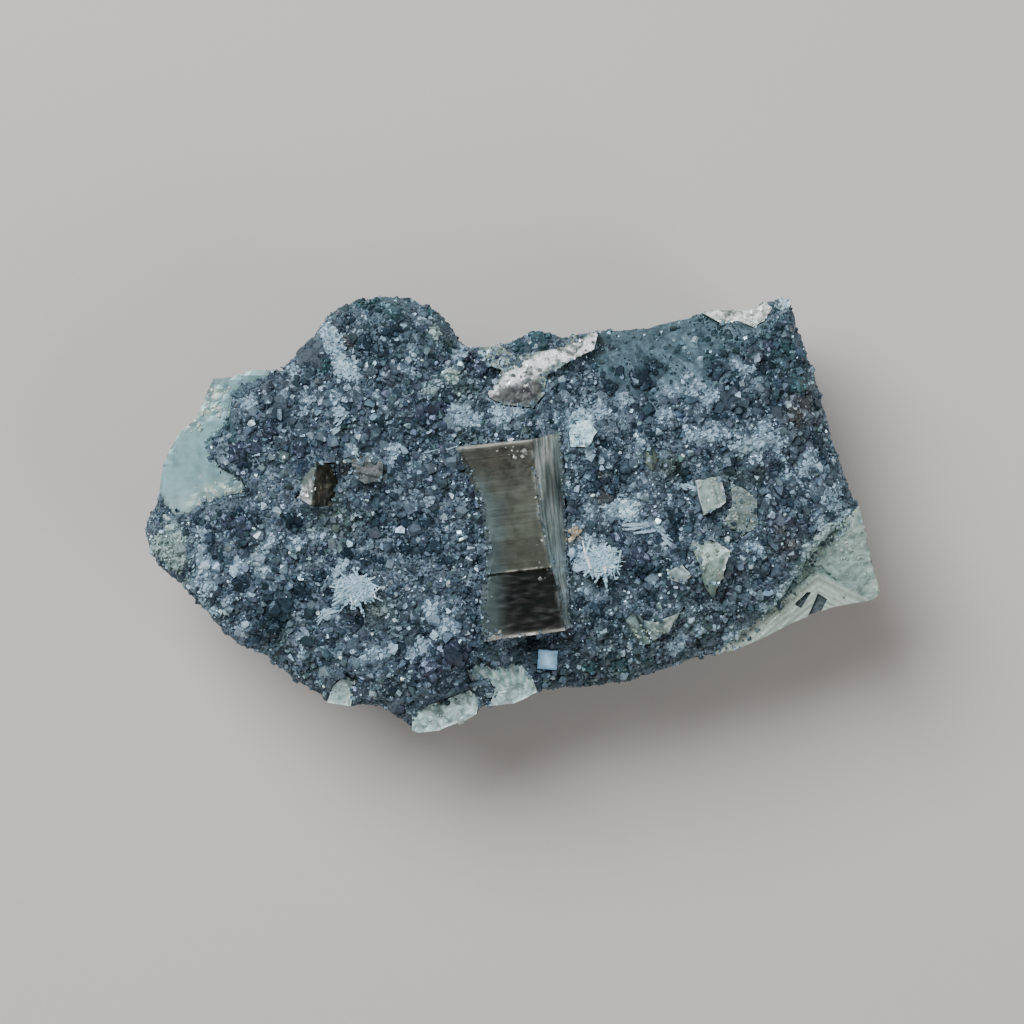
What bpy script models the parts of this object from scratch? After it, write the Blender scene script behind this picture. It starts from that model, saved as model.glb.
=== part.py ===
"""Pyrite specimen: striated pyrite crystals grown in a slab of dark crystal crust.

The specimen lies flat on the face it was broken off at. +X runs along its length, +Y across it and
+Z up, and the origin is on the resting plane under the middle of its outline. Lengths in this file
are millimetres; MM turns them into Blender's metres where a mesh is made.
"""

import math
import random

import bmesh
import bpy
from mathutils import Vector, geometry, noise

MM = 0.001

# The slab of crust.
CROWN_HEIGHT = 28.0  # middle of the upper surface
RIM_HEIGHT = 20.5  # upper edge of the sides, which is the outline seen from above
SHOULDER = 3.6  # distance over which the surface rises from the rim
UNDULATION = 1.3
UNDULATION_SPAN = 9.0
CRUST_SPACING = 1.75  # between the crystal tips of the upper surface
CRUST_RELIEF = 0.6
RIM_SPACING = 1.9
RIM_RAGGEDNESS = 0.3
SIDE_RINGS = 5
SIDE_RELIEF = 0.8
SIDE_BLOCKS = 1.5  # depth of the ledges where the sides broke along cube faces
SIDE_BLOCK_SPAN = 6.5
UNDERCUT = 0.16  # how far the sides draw in by the underside, as a share of the distance from the middle
CUT_FACE_UNDERCUT = 0.03  # the same on the straight right-hand face
UNDERSIDE_EDGE = 5.5
UNDERSIDE_SPACING = 3.6
FOOT_SHARE = 0.62  # the flat resting face, as a share of the outline

# The crystals set in it.
SOCKET_GAP = 0.3
SOCKET_TOP = 40.0
RIM_OVERCUT = 2.0  # how far a socket runs out past the slab's side
AT_RIM = 0.5  # how close to the outline a corner on the slab's side is
BROKEN_RELIEF = 1.0
SIDE_LEVELS = 4  # rings of corners down a crystal on the slab's side
SEED = 7

# The outline seen from above, counter-clockwise.
UPPER_LOBE = [
    (-6.9, 23.6), (-8.3, 26.2), (-9.7, 27.6), (-13.1, 29.1), (-16.5, 29.8),
    (-21.0, 29.2), (-24.7, 27.5), (-29.3, 21.9), (-31.6, 19.7),
]
LEFT_EDGE = [
    (-35.1, 19.6), (-37.9, 18.5), (-40.6, 18.2), (-42.9, 12.7), (-45.4, 10.6),
    (-47.4, 6.6), (-48.0, 2.1), (-49.6, -0.7), (-50.0, -2.2),
]
LEFT_TIP = [
    (-49.6, -4.8), (-48.2, -7.4), (-45.2, -10.0), (-42.8, -12.6), (-39.2, -16.6),
    (-36.5, -18.7), (-33.2, -20.0), (-29.6, -23.1), (-24.9, -25.8),
]
LOWER_EDGE = [
    (-17.7, -26.8), (-12.9, -29.8), (-9.8, -29.5), (-5.9, -28.1), (-3.1, -26.2), (0.7, -25.8),
    (3.4, -24.6), (9.0, -24.3), (16.1, -23.2), (26.4, -19.8), (34.6, -17.0), (43.5, -12.9),
    (49.0, -11.8),
]
CUT_FACE = [(50.0, -11.0), (48.5, -5.2), (46.9, 1.3), (44.1, 9.9), (42.0, 17.5), (38.1, 29.2)]
UPPER_EDGE = [
    (36.6, 29.6), (32.7, 27.6), (27.1, 27.5), (18.4, 25.1), (12.7, 24.9),
    (7.5, 23.8), (5.6, 24.7), (2.3, 24.6), (-1.1, 23.0), (-4.6, 22.4),
]
OUTLINE = UPPER_LOBE + LEFT_EDGE + LEFT_TIP + LOWER_EDGE + CUT_FACE + UPPER_EDGE

# Broad swells of the upper surface: centre x and y, radius, rise.
SWELLS = [
    (-16.0, 19.0, 9.0, 2.4),  # crown of the upper lobe
    (14.0, 24.0, 9.0, -3.2),  # sloping band along the upper edge
    (27.0, 25.0, 8.0, -2.6),
    (-4.0, 1.0, 11.0, 2.4),  # crust banked against the large crystal
    (13.0, -4.0, 8.0, -0.6),
    (-34.0, 10.0, 7.0, 1.2),
    (-30.0, -12.0, 10.0, -0.8),
    (4.0, -21.0, 5.0, -1.2),
]

# Large blocky crystals of the crust itself: centre x and y, radius, rise.
LUMPS = [
    (-33.0, 13.9, 3.0, 1.7), (-36.8, -10.5, 3.0, 1.4), (-13.5, -13.3, 2.6, 1.5),
    (-8.6, -19.4, 2.8, 1.9), (-11.0, -22.3, 2.8, 1.6), (-16.2, 26.0, 4.2, 1.3),
    (-10.6, 22.6, 2.6, 1.2), (-21.0, 12.0, 2.8, 1.4), (-33.5, -2.6, 3.0, 1.2),
    (13.6, 10.6, 2.9, 1.6), (14.9, 7.2, 2.6, 1.5), (15.6, -6.6, 2.8, 1.5),
    (21.5, 12.6, 2.6, 1.2), (33.2, 6.3, 2.8, 1.8), (32.0, 16.2, 3.2, 1.4),
    (36.4, 10.6, 3.0, 1.3), (24.0, 18.2, 3.2, 1.2), (40.6, 2.8, 2.6, 1.2),
    (4.4, 17.4, 2.4, 1.2), (-27.4, -18.6, 2.8, 1.4), (19.6, -19.2, 2.6, 1.2),
]


def clear_scene():
    for old in list(bpy.data.objects):
        bpy.data.objects.remove(old, do_unlink=True)


def material(name, colour, roughness, metallic):
    """A Principled surface from an sRGB colour written as hex digits."""
    made = bpy.data.materials.new(name)
    made.use_nodes = True
    shader = made.node_tree.nodes["Principled BSDF"]
    channels = [int(colour[i : i + 2], 16) / 255 for i in (0, 2, 4)]
    linear = [c / 12.92 if c < 0.04045 else ((c + 0.055) / 1.055) ** 2.4 for c in channels]
    shader.inputs["Base Color"].default_value = (*linear, 1.0)
    shader.inputs["Roughness"].default_value = roughness
    shader.inputs["Metallic"].default_value = metallic
    return made


def mesh_object(name, corners, faces, finish):
    """A closed mesh object from corners in millimetres."""
    bm = bmesh.new()
    verts = [bm.verts.new(Vector(corner) * MM) for corner in corners]
    for face in faces:
        bm.faces.new([verts[i] for i in face])
    bmesh.ops.recalc_face_normals(bm, faces=bm.faces)
    mesh = bpy.data.meshes.new(name)
    bm.to_mesh(mesh)
    bm.free()
    made = bpy.data.objects.new(name, mesh)
    bpy.context.collection.objects.link(made)
    if finish:
        mesh.materials.append(finish)
    return made


# Flat geometry


def distance_to_outline(point):
    best = SOCKET_TOP
    for start, end in zip(OUTLINE, OUTLINE[1:] + OUTLINE[:1]):
        a, b = Vector(start), Vector(end)
        along = max(0.0, min(1.0, (point - a).dot(b - a) / (b - a).length_squared))
        best = min(best, (point - a.lerp(b, along)).length)
    return best


def at_rim(corner):
    """Whether a crystal's corner is on the slab's side."""
    return distance_to_outline(corner.xy) < AT_RIM


def inside(point, outline):
    """Whether a point is in a closed outline, by counting the edges to its right."""
    crossings = 0
    for (ax, ay), (bx, by) in zip(outline, outline[1:] + outline[:1]):
        if (ay > point.y) != (by > point.y):
            crossings += point.x < ax + (point.y - ay) * (bx - ax) / (by - ay)
    return crossings % 2 == 1


def resampled(outline, spacing):
    """The outline with points about this far apart, its own corners kept."""
    points = []
    for start, end in zip(outline, outline[1:] + outline[:1]):
        a, b = Vector(start), Vector(end)
        pieces = max(1, round((b - a).length / spacing))
        points += [a.lerp(b, k / pieces) for k in range(pieces)]
    return points


def edge_normal(start, end):
    """Unit normal, pointing out, of an edge of a counter-clockwise closed loop."""
    along = end - start
    return Vector((along.y, -along.x)).normalized()


def outward(points, i):
    """Direction out of a counter-clockwise closed loop at a point, longer at a sharp corner.

    Its length is what moves both edges there out by one unit, up to three times that.
    """
    before = edge_normal(points[i - 1], points[i])
    after = edge_normal(points[i], points[(i + 1) % len(points)])
    middle = (before + after).normalized()
    return middle / max(1 / 3, middle.dot(before))


def scattered(outline, spacing, clearance, rng):
    """Points on a jittered triangular grid inside an outline, clear of its edge."""
    xs = [p[0] for p in outline]
    ys = [p[1] for p in outline]
    row_gap = spacing * math.sqrt(0.75)
    border = resampled(outline, spacing / 2)
    points = []
    for row in range(int((max(ys) - min(ys)) / row_gap) + 1):
        for column in range(int((max(xs) - min(xs)) / spacing) + 1):
            x = min(xs) + (column + 0.5 * (row % 2)) * spacing
            point = Vector((x, min(ys) + row * row_gap))
            point += Vector((rng.uniform(-1, 1), rng.uniform(-1, 1))) * spacing * 0.3
            if inside(point, outline) and all((point - b).length > clearance for b in border):
                points.append(point)
    return points


def triangulated(loop, inner):
    """(points, triangles) that fill a closed loop and use every inner point; the loop comes first."""
    points = list(loop) + list(inner)
    result = geometry.delaunay_2d_cdt(points, [], [list(range(len(loop)))], 1, 1e-5)
    return result[0], result[2]


# The slab of crust


def top_height(point):
    """Height of the crust's upper surface, before its crystal tips."""
    rise = 1 - math.exp(-distance_to_outline(point) / SHOULDER)
    height = RIM_HEIGHT + (CROWN_HEIGHT - RIM_HEIGHT) * rise
    for x, y, radius, swell in SWELLS:
        height += rise * swell * math.exp(-(point - Vector((x, y))).length_squared / radius**2)
    for x, y, radius, lump in LUMPS:
        height += lump * max(0.0, 1 - (point - Vector((x, y))).length_squared / radius**2)
    return height + UNDULATION * noise.noise(Vector((point.x, point.y, 0)) / UNDULATION_SPAN)


def side_share(point, drop):
    """How much a side point draws in towards the middle at this share of the way down."""
    on_cut_face = 1 / (1 + math.exp((40.0 - point.x - point.y * 0.27) / 3.5))
    undercut = UNDERCUT + (CUT_FACE_UNDERCUT - UNDERCUT) * on_cut_face
    return 1 - undercut * drop**1.6


def side_point(point, drop):
    """A point of the slab's side under a rim point, at this share of the way down."""
    bottom = UNDERSIDE_EDGE + 2.2 * noise.noise(Vector((point.x, point.y, 30)) / 8)
    height = top_height(point) * (1 - drop) + bottom * drop
    place = point * side_share(point, drop)
    spot = Vector((point.x, point.y, height * 1.4))
    relief = SIDE_RELIEF * (0.5 + 0.5 * noise.noise(spot / 3.2))
    relief += SIDE_BLOCKS * noise.cell(spot / SIDE_BLOCK_SPAN)
    place -= point.normalized() * relief * min(1.0, 2.5 * drop)
    return Vector((place.x, place.y, height))


def slab_of_crust(finish):
    """The drusy slab: crystal-studded top, rough broken sides and a flat resting face."""
    rng = random.Random(SEED)
    rim = resampled(OUTLINE, RIM_SPACING)
    rim = [p - outward(rim, i) * rng.uniform(0, RIM_RAGGEDNESS) for i, p in enumerate(rim)]
    count = len(rim)

    inner = scattered([tuple(p) for p in rim], CRUST_SPACING, 0.6 * CRUST_SPACING, rng)
    flat, faces = triangulated(rim, inner)
    corners = [Vector((p.x, p.y, top_height(p))) for p in flat]
    for corner in corners[count:]:
        corner.z += rng.uniform(-1, 1) * CRUST_RELIEF

    previous = list(range(count))
    for ring in range(1, SIDE_RINGS + 1):
        level = list(range(len(corners), len(corners) + count))
        corners += [side_point(p, ring / SIDE_RINGS) for p in rim]
        for i in range(count):
            j = (i + 1) % count
            faces.append((previous[j], previous[i], level[i]))
            faces.append((previous[j], level[i], level[j]))
        previous = level

    border = [corners[i].to_2d() for i in previous]
    foot = [p * FOOT_SHARE * rng.uniform(0.92, 1.0) for p in resampled(OUTLINE, 3 * UNDERSIDE_SPACING)]
    slope = scattered([tuple(p) for p in border], UNDERSIDE_SPACING, 0.6 * UNDERSIDE_SPACING, rng)
    foot_outline = [tuple(p * 1.08) for p in foot]
    slope = [p for p in slope if not inside(p, foot_outline)]
    under, under_faces = triangulated(border, foot + slope)
    start = len(corners) - count
    corners += [Vector((p.x, p.y, 0)) for p in under[count : count + len(foot)]]
    for p in under[count + len(foot) :]:
        reach = min(1.0, (p.length / max(1e-6, nearest(foot, p).length) - 1) / 0.3)
        corners.append(Vector((p.x, p.y, 0.6 + (UNDERSIDE_EDGE - 1.5) * reach + rng.uniform(0, 0.9))))
    faces += [tuple(start + i for i in reversed(face)) for face in under_faces]
    return mesh_object("crust_slab", corners, faces, finish)


def nearest(points, target):
    return min(points, key=lambda p: (p - target).length_squared)


# Crystals


def rim_of_facets(facets):
    """The closed loop of corners round a sheet of facets that all turn the same way."""
    edges = {(a, b) for f in facets for a, b in zip(f, f[1:] + f[:1])}
    following = {a: b for a, b in edges if (b, a) not in edges}
    loop = [min(following)]
    while following[loop[-1]] != loop[0]:
        loop.append(following[loop[-1]])
    return loop


def crystal(name, corners, facets, base, finish, on_side=False, broken=False):
    """A crystal with these upper facets, its sides down to its base, and the socket it fills.

    on_side makes its sides follow the slab's side; broken roughens what shows of them.
    """
    rng = random.Random(name)
    facets = [list(f) for f in facets]
    loop = rim_of_facets(facets)
    solid = [Vector(c) for c in corners]
    top = [solid[i] for i in loop]
    on_rim = [at_rim(corner) for corner in top]
    levels = side_levels(top, base, on_side, top)
    faces = facets
    for level in levels[1:]:
        low = list(range(len(solid), len(solid) + len(loop)))
        for i, place in enumerate(level):
            if broken and on_rim[i - 1] and on_rim[i] and on_rim[(i + 1) % len(top)]:
                inwards = Vector((place.x, place.y, 0)).normalized()
                place = place - inwards * rng.uniform(0, BROKEN_RELIEF)
            solid.append(place)
        faces += walls(loop, low)
        loop = low
    faces.append(loop[::-1])
    made = mesh_object(name, solid, faces, finish)
    socket(name, top, base, on_side)
    return made


def side_levels(top, base, on_side, guides):
    """Closed rings of corners from an upper edge down to a base, drawing in as the guides do."""
    levels = []
    for step in range(SIDE_LEVELS if on_side else 2):
        drop = step / ((SIDE_LEVELS if on_side else 2) - 1)
        level = []
        for corner, guide in zip(top, guides):
            height = corner.z + (base - corner.z) * drop
            share = 1.0
            if on_side:
                below_rim = (RIM_HEIGHT - height) / (RIM_HEIGHT - UNDERSIDE_EDGE)
                share = side_share(guide, max(0.0, min(1.0, below_rim)))
            level.append(Vector((corner.x * share, corner.y * share, height)))
        levels.append(level)
    return levels


def walls(upper, lower):
    """Four-sided faces between two closed loops of the same length, as lists of corner numbers."""
    count = len(upper)
    return [[upper[k - 1], lower[k - 1], lower[k], upper[k]] for k in range(count)]


def socket(name, top, base, on_side):
    """A hidden cutter: the crystal's sides with a gap round them, open at the top."""
    wide, guides = zip(*socket_mouth(top))
    levels = [[Vector((c.x, c.y, SOCKET_TOP)) for c in wide]]
    levels += side_levels(wide, base - SOCKET_GAP, on_side, guides)
    count = len(wide)
    last = (len(levels) - 1) * count
    faces = [list(range(count)), list(range(last + count - 1, last - 1, -1))]
    for above in range(0, last, count):
        faces += walls(range(above, above + count), range(above + count, above + 2 * count))
    cutter = mesh_object("socket_" + name, [c for level in levels for c in level], faces, None)
    cutter.hide_render = True
    cutter.display_type = "WIRE"


def socket_mouth(top):
    """(socket corner, crystal corner) pairs: the crystal's upper edge with the gap round it.

    Where the crystal is on the slab's side, the socket runs on past the side.
    """
    plan = [corner.xy for corner in top]
    on_rim = [at_rim(corner) for corner in top]
    pairs = []
    for i, corner in enumerate(top):
        moved = plan[i] + outward(plan, i) * SOCKET_GAP
        close = Vector((*moved, corner.z))
        beyond = Vector((*(moved + plan[i].normalized() * RIM_OVERCUT), corner.z))
        rim_before = on_rim[i - 1]
        rim_after = on_rim[(i + 1) % len(top)]
        if not on_rim[i] or not rim_before:
            pairs.append((close, corner))
        if on_rim[i] and (rim_before or rim_after):
            pairs.append((beyond, corner))
        if on_rim[i] and rim_before and not rim_after:
            pairs.append((close, corner))
    return pairs


def cut_sockets(slab):
    for cutter in [o for o in bpy.data.objects if o.name.startswith("socket_")]:
        cut = slab.modifiers.new(cutter.name, "BOOLEAN")
        cut.operation = "DIFFERENCE"
        cut.object = cutter


def tilted(outline, height, slope_x=0.0, slope_y=0.0):
    """Corners of a flat face: an outline on a plane that has this height at the outline's middle."""
    mid_x = sum(x for x, _ in outline) / len(outline)
    mid_y = sum(y for _, y in outline) / len(outline)
    return [(x, y, height + slope_x * (x - mid_x) + slope_y * (y - mid_y)) for x, y in outline]


def flat_crystal(name, outline, height, slopes, base, finish, on_side=False):
    """A crystal with one flat face on top, of any outline."""
    corners = tilted(outline, height, *slopes)
    return crystal(name, corners, [list(range(len(corners)))], base, finish, on_side)


def rough_crystal(name, outline, height_at, relief, spacing, base, finish, on_side=False):
    """A crystal broken across its top, which leaves a crumbly surface."""
    rng = random.Random(name)
    loop = resampled(outline, spacing)
    flat, faces = triangulated(loop, scattered([tuple(p) for p in loop], spacing, spacing * 0.5, rng))
    corners = [(p.x, p.y, height_at(p) + rng.uniform(-relief, relief)) for p in flat]
    return crystal(name, corners, faces, base, finish, on_side, broken=True)


def striated_crystal(finish):
    """The large crystal: a long face in fine steps across, a ledge, and a side face that falls away."""
    left = [(-7.4, 8.7), (-5.4, 4.3), (-3.7, -1.0), (-3.2, -6.3), (-4.1, -11.6), (-3.8, -17.2)]
    ridge = [(2.8, 9.7), (3.3, 4.0), (3.9, -1.2), (5.0, -6.0), (6.3, -10.8), (7.2, -15.7)]
    foot = [(6.8, 10.8), (7.1, 5.0), (7.3, 0.0), (7.6, -6.0), (7.9, -10.8), (8.2, -15.3)]
    steps = 26
    stair = 0.09
    ledge_at = 17
    corners = []
    for k in range(steps + 1):
        t = k / steps * (len(left) - 1)
        rows = [along_polyline(line, t) for line in (left, ridge, foot)]
        face = 32.4 + (stair if k % 2 else -stair) - 0.03 * abs(k - steps / 2)
        if k > ledge_at:
            face -= 0.7
        middle = rows[0].lerp(rows[1], 0.5)
        corners += [(*rows[0], face - 0.5), (*middle, face), (*rows[1], face + 0.25)]
        corners += [(*rows[2], 28.4 - 0.4 * t / 5)]
    facets = [
        [4 * k + c, 4 * k + 4 + c, 4 * k + 5 + c, 4 * k + 1 + c]
        for k in range(steps)
        for c in range(3)
    ]
    crystal("striated_pyrite_crystal", corners, facets, 20.0, finish)


def along_polyline(line, t):
    k = min(int(t), len(line) - 2)
    return Vector(line[k]).lerp(Vector(line[k + 1]), t - k)


def smooth_left_crystal(finish):
    """The broad smooth face along the left edge, lower than the crust round it."""
    outline = [
        (-40.3, 18.1), (-42.6, 12.7), (-45.1, 10.5), (-47.1, 6.6), (-47.6, 3.0), (-47.0, 1.2),
        (-45.4, -0.4), (-43.6, 0.0), (-41.4, 1.3), (-38.7, 2.2), (-35.7, 3.0), (-36.7, 4.7),
        (-39.1, 5.8), (-40.7, 7.8), (-40.2, 10.1), (-38.2, 12.5), (-37.6, 15.9), (-36.3, 17.4),
        (-33.7, 18.0), (-31.8, 19.2), (-34.9, 19.3), (-37.6, 18.3),
    ]
    flat_crystal("smooth_left_pyrite_crystal", outline, 22.0, (0.06, 0.03), 7.0, finish, on_side=True)


def chevron_corner_crystal(finish):
    """The crystal at the lower right corner, its face stepped down in nested chevrons, with pits."""
    outline = [
        (46.9, 1.0), (43.9, -2.1), (40.8, -5.0), (38.8, -8.0), (37.5, -10.4), (35.9, -12.4),
        (33.5, -14.4), (30.1, -17.1), (27.0, -19.3), (30.3, -18.6), (34.3, -16.9), (38.4, -14.8),
        (43.1, -12.9), (45.3, -12.4), (48.8, -11.8), (49.8, -10.9), (48.8, -7.0), (48.3, -5.0),
    ]
    name = "chevron_corner_pyrite_crystal"
    made = flat_crystal(name, outline, 23.6, (0.02, 0.06), 4.5, finish, on_side=True)
    chevrons = [
        ((28.0, -20.5), (39.6, -7.2), (41.8, -7.0), (49.0, -13.5), 0.25),
        ((30.5, -20.5), (39.9, -8.6), (41.6, -8.4), (47.2, -13.8), 0.5),
        ((33.0, -20.5), (40.0, -10.0), (41.4, -9.8), (45.6, -14.2), 0.75),
    ]
    for k, (*shape, depth) in enumerate(chevrons):
        carve(made, f"chevron_{k}", shape, depth, 23.4)
    carve(made, "upper_pit", [(38.2, -12.4), (40.0, -10.7), (40.5, -10.8), (39.2, -12.9)], 2.2, 23.0)
    carve(made, "lower_pit", [(39.6, -15.2), (41.4, -10.9), (42.7, -11.7), (41.2, -14.8)], 2.6, 23.0)


def carve(made, label, shape, depth, face_height):
    """Cuts a shape down into a crystal's face with a Boolean."""
    corners = [(x, y, face_height + 4) for x, y in shape]
    corners += [(x, y, face_height - depth + 0.06 * (y + 10)) for x, y in shape]
    count = len(shape)
    faces = [list(range(count)), list(range(2 * count - 1, count - 1, -1))]
    faces += walls(range(count), range(count, 2 * count))
    cutter = mesh_object(label, corners, faces, None)
    cutter.hide_render = True
    cutter.display_type = "WIRE"
    cut = made.modifiers.new(label, "BOOLEAN")
    cut.operation = "DIFFERENCE"
    cut.object = cutter


def broken_upper_crystal(finish):
    """The crystal broken across along the upper edge: a bright crumbly band over a brown face."""
    outline = [
        (-4.4, 22.2), (-3.6, 19.9), (-1.3, 19.1), (-2.3, 17.3), (-3.1, 15.4), (-1.1, 14.4),
        (3.0, 14.0), (4.4, 15.6), (5.0, 18.4), (8.2, 20.4), (11.2, 21.9), (11.9, 24.4),
        (10.0, 24.2), (8.2, 23.9), (7.2, 22.3), (5.0, 21.9), (1.2, 21.2), (-0.4, 21.6),
        (-1.2, 22.7), (-2.9, 22.4),
    ]

    def height_at(point):
        below_band = max(0.0, 16.4 - point.y + 0.35 * (point.x + 3))
        return 28.6 - 0.42 * max(0.0, point.y - 16) - 0.3 * below_band

    rough_crystal("broken_upper_pyrite_crystal", outline, height_at, 0.35, 1.3, 16.5, finish, True)


def upper_edge_crystal(finish):
    """The cream-coloured broken crystal on the upper edge, near the right-hand corner."""
    outline = [
        (25.8, 26.9), (28.5, 25.4), (30.7, 25.8), (32.6, 25.0), (34.3, 25.8), (35.4, 27.6),
        (34.4, 28.5), (32.6, 27.5), (27.0, 27.4),
    ]
    rough_crystal("upper_edge_pyrite_crystal", outline, lambda p: 23.0, 0.3, 1.2, 13.0, finish, True)


def lower_edge_crystals(finish):
    """Three pale crystals broken through along the lower edge."""
    fan = [
        (-5.9, -21.1), (-5.5, -22.8), (-3.1, -22.4), (-2.2, -23.9), (-3.0, -26.2), (0.6, -25.8),
        (2.2, -25.0), (3.6, -24.2), (3.0, -22.5), (1.2, -20.1), (-2.6, -21.0), (-4.2, -20.0),
    ]
    rough_crystal("fan_pyrite_crystal", fan, lambda p: 23.6 + 0.1 * p.y + 2, 0.22, 1.4, 13.5, finish, True)
    tip = [
        (-13.4, -29.4), (-13.4, -27.4), (-11.6, -26.1), (-8.6, -25.1), (-5.6, -23.9), (-4.2, -24.9),
        (-4.6, -27.2), (-6.0, -28.1), (-7.2, -28.4), (-9.8, -29.5), (-12.6, -29.8),
    ]
    rough_crystal("lower_tip_pyrite_crystal", tip, lambda p: 23.0, 0.3, 1.4, 10.0, finish, True)
    chip = [(-24.9, -25.7), (-24.0, -23.3), (-22.4, -22.0), (-20.9, -22.6), (-21.6, -26.2)]
    rough_crystal("lower_left_pyrite_crystal", chip, lambda p: 23.2, 0.25, 1.5, 15.0, finish, True)


def right_hand_crystals(finish):
    """Pale pyrite crystals that stand out of the crust to the right of the large one."""
    flat_crystal(
        "square_pyrite_crystal",
        [(24.5, 4.3), (25.7, -0.5), (28.9, 1.3), (27.9, 4.9)],
        30.2, (-0.12, 0.22), 24.0, finish,
    )
    flat_crystal(
        "dull_pyrite_crystal",
        [(29.3, 4.2), (29.6, 0.9), (28.2, -1.4), (31.0, -3.2), (33.0, -1.8), (33.0, 1.6), (31.6, 3.0)],
        28.9, (0.06, 0.12), 23.0, finish,
    )
    wedge = [
        (24.0, -4.2, 29.2), (25.2, -7.2, 30.4), (25.8, -9.9, 30.2), (27.0, -11.5, 29.0),
        (28.2, -8.6, 31.2), (29.3, -5.0, 31.6), (26.8, -3.7, 30.0),
    ]
    crystal("wedge_pyrite_crystal", wedge, [[0, 1, 5, 6], [1, 2, 4, 5], [2, 3, 4]], 23.5, finish)
    flat_crystal(
        "small_square_pyrite_crystal",
        [(20.8, -7.9), (21.4, -9.0), (23.1, -9.6), (24.2, -8.4), (22.9, -6.9)],
        29.6, (-0.2, 0.25), 23.5, finish,
    )
    forked = [
        (15.3, -14.4, 29.6), (16.6, -13.2, 28.6), (17.7, -14.3, 28.8), (19.5, -14.6, 29.0),
        (22.6, -13.4, 28.4), (21.2, -15.9, 28.2), (18.9, -17.4, 29.0), (17.6, -17.8, 30.0),
        (16.2, -16.4, 28.6), (17.1, -15.6, 30.2),
    ]
    crystal(
        "forked_pyrite_crystal", forked,
        [[0, 8, 9], [8, 7, 9], [1, 0, 9, 2], [2, 9, 7, 6], [3, 2, 6], [4, 3, 6, 5]],
        23.0, finish,
    )
    spike = [(18.2, 9.2, 29.0), (18.0, 6.6, 29.2), (18.9, 5.4, 28.6), (19.8, 7.5, 28.2), (18.8, 7.4, 31.0)]
    crystal("spike_pyrite_crystal", spike, [[0, 1, 4], [1, 2, 4], [2, 3, 4], [3, 0, 4]], 23.0, finish)


def ridged_left_crystal(finish):
    """The small crystal left of the middle: a bright face and a dark one that meet in a ridge."""
    corners = [
        (-26.0, 6.7, 30.4), (-28.0, 4.2, 28.2), (-28.6, 2.0, 27.6), (-26.8, 1.0, 29.8),
        (-24.0, 0.9, 27.2), (-23.4, 4.0, 27.4), (-23.8, 6.4, 27.8),
    ]
    crystal("ridged_pyrite_crystal", corners, [[0, 1, 2, 3], [0, 3, 4, 5, 6]], 21.0, finish)


def tan_crystal(finish):
    """A dull tan block beside the ridged crystal."""
    outline = [(-21.3, 7.0), (-20.9, 4.9), (-19.4, 3.8), (-17.2, 4.4), (-17.0, 6.6), (-19.1, 7.5)]
    flat_crystal("tan_block_crystal", outline, 30.6, (0.08, -0.1), 23.5, finish)


def spray(name, centre, height, blades, thickness, finish):
    """White blades that radiate from a centre; each is an angle, a length and a width at its root."""
    x0, y0 = centre
    corners = [(x0, y0, height)]
    for angle, length, width in sorted(blades):
        for turn, reach, lift in ((-width / 2, 0.9, -0.45), (0, length, -0.7)):
            a = math.radians(angle + turn)
            corners.append((x0 + reach * math.cos(a), y0 + reach * math.sin(a), height + lift))
    count = len(corners) - 1
    facets = [[0, 1 + k, 1 + (k + 1) % count] for k in range(count)]
    crystal(name, corners, facets, height - thickness, finish)


def white_sprays(finish):
    broad = [
        (12, 3.4, 44), (40, 2.6, 30), (75, 3.3, 36), (105, 3.0, 30), (135, 3.8, 34), (165, 3.2, 30),
        (195, 3.9, 30), (225, 2.9, 34), (255, 3.1, 28), (284, 4.6, 26), (318, 3.2, 34), (345, 2.7, 28),
    ]
    spray("right_white_spray", (12.0, -6.9), 30.2, broad, 5.0, finish)
    slim = [
        (15, 3.6, 34), (48, 3.0, 40), (85, 3.8, 44), (125, 3.2, 40), (160, 2.8, 36), (198, 3.4, 38),
        (232, 4.2, 38), (262, 2.6, 36), (290, 3.9, 34), (325, 3.0, 38),
    ]
    spray("left_white_spray", (-20.8, -10.6), 30.0, slim, 5.0, finish)


def white_lump(finish):
    """A pale lump against the large crystal's upper corner."""
    outline = [(7.9, 8.7), (10.4, 8.6), (11.6, 10.8), (10.5, 12.6), (8.5, 12.3), (7.6, 10.6)]
    rough_crystal("white_lump_crystal", outline, lambda p: 29.6, 0.3, 1.3, 23.5, finish)


def pale_blue_cube(finish):
    """A small cube just below the large crystal."""
    half = 1.3
    turn = math.radians(-4)
    outline = [
        (
            4.9 + half * (sx * math.cos(turn) - sy * math.sin(turn)),
            -19.7 + half * (sx * math.sin(turn) + sy * math.cos(turn)),
        )
        for sx, sy in ((-1, -1), (1, -1), (1, 1), (-1, 1))
    ]
    flat_crystal("pale_blue_cube_crystal", outline, 28.0, (0.1, 0.16), 21.0, finish)


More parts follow.
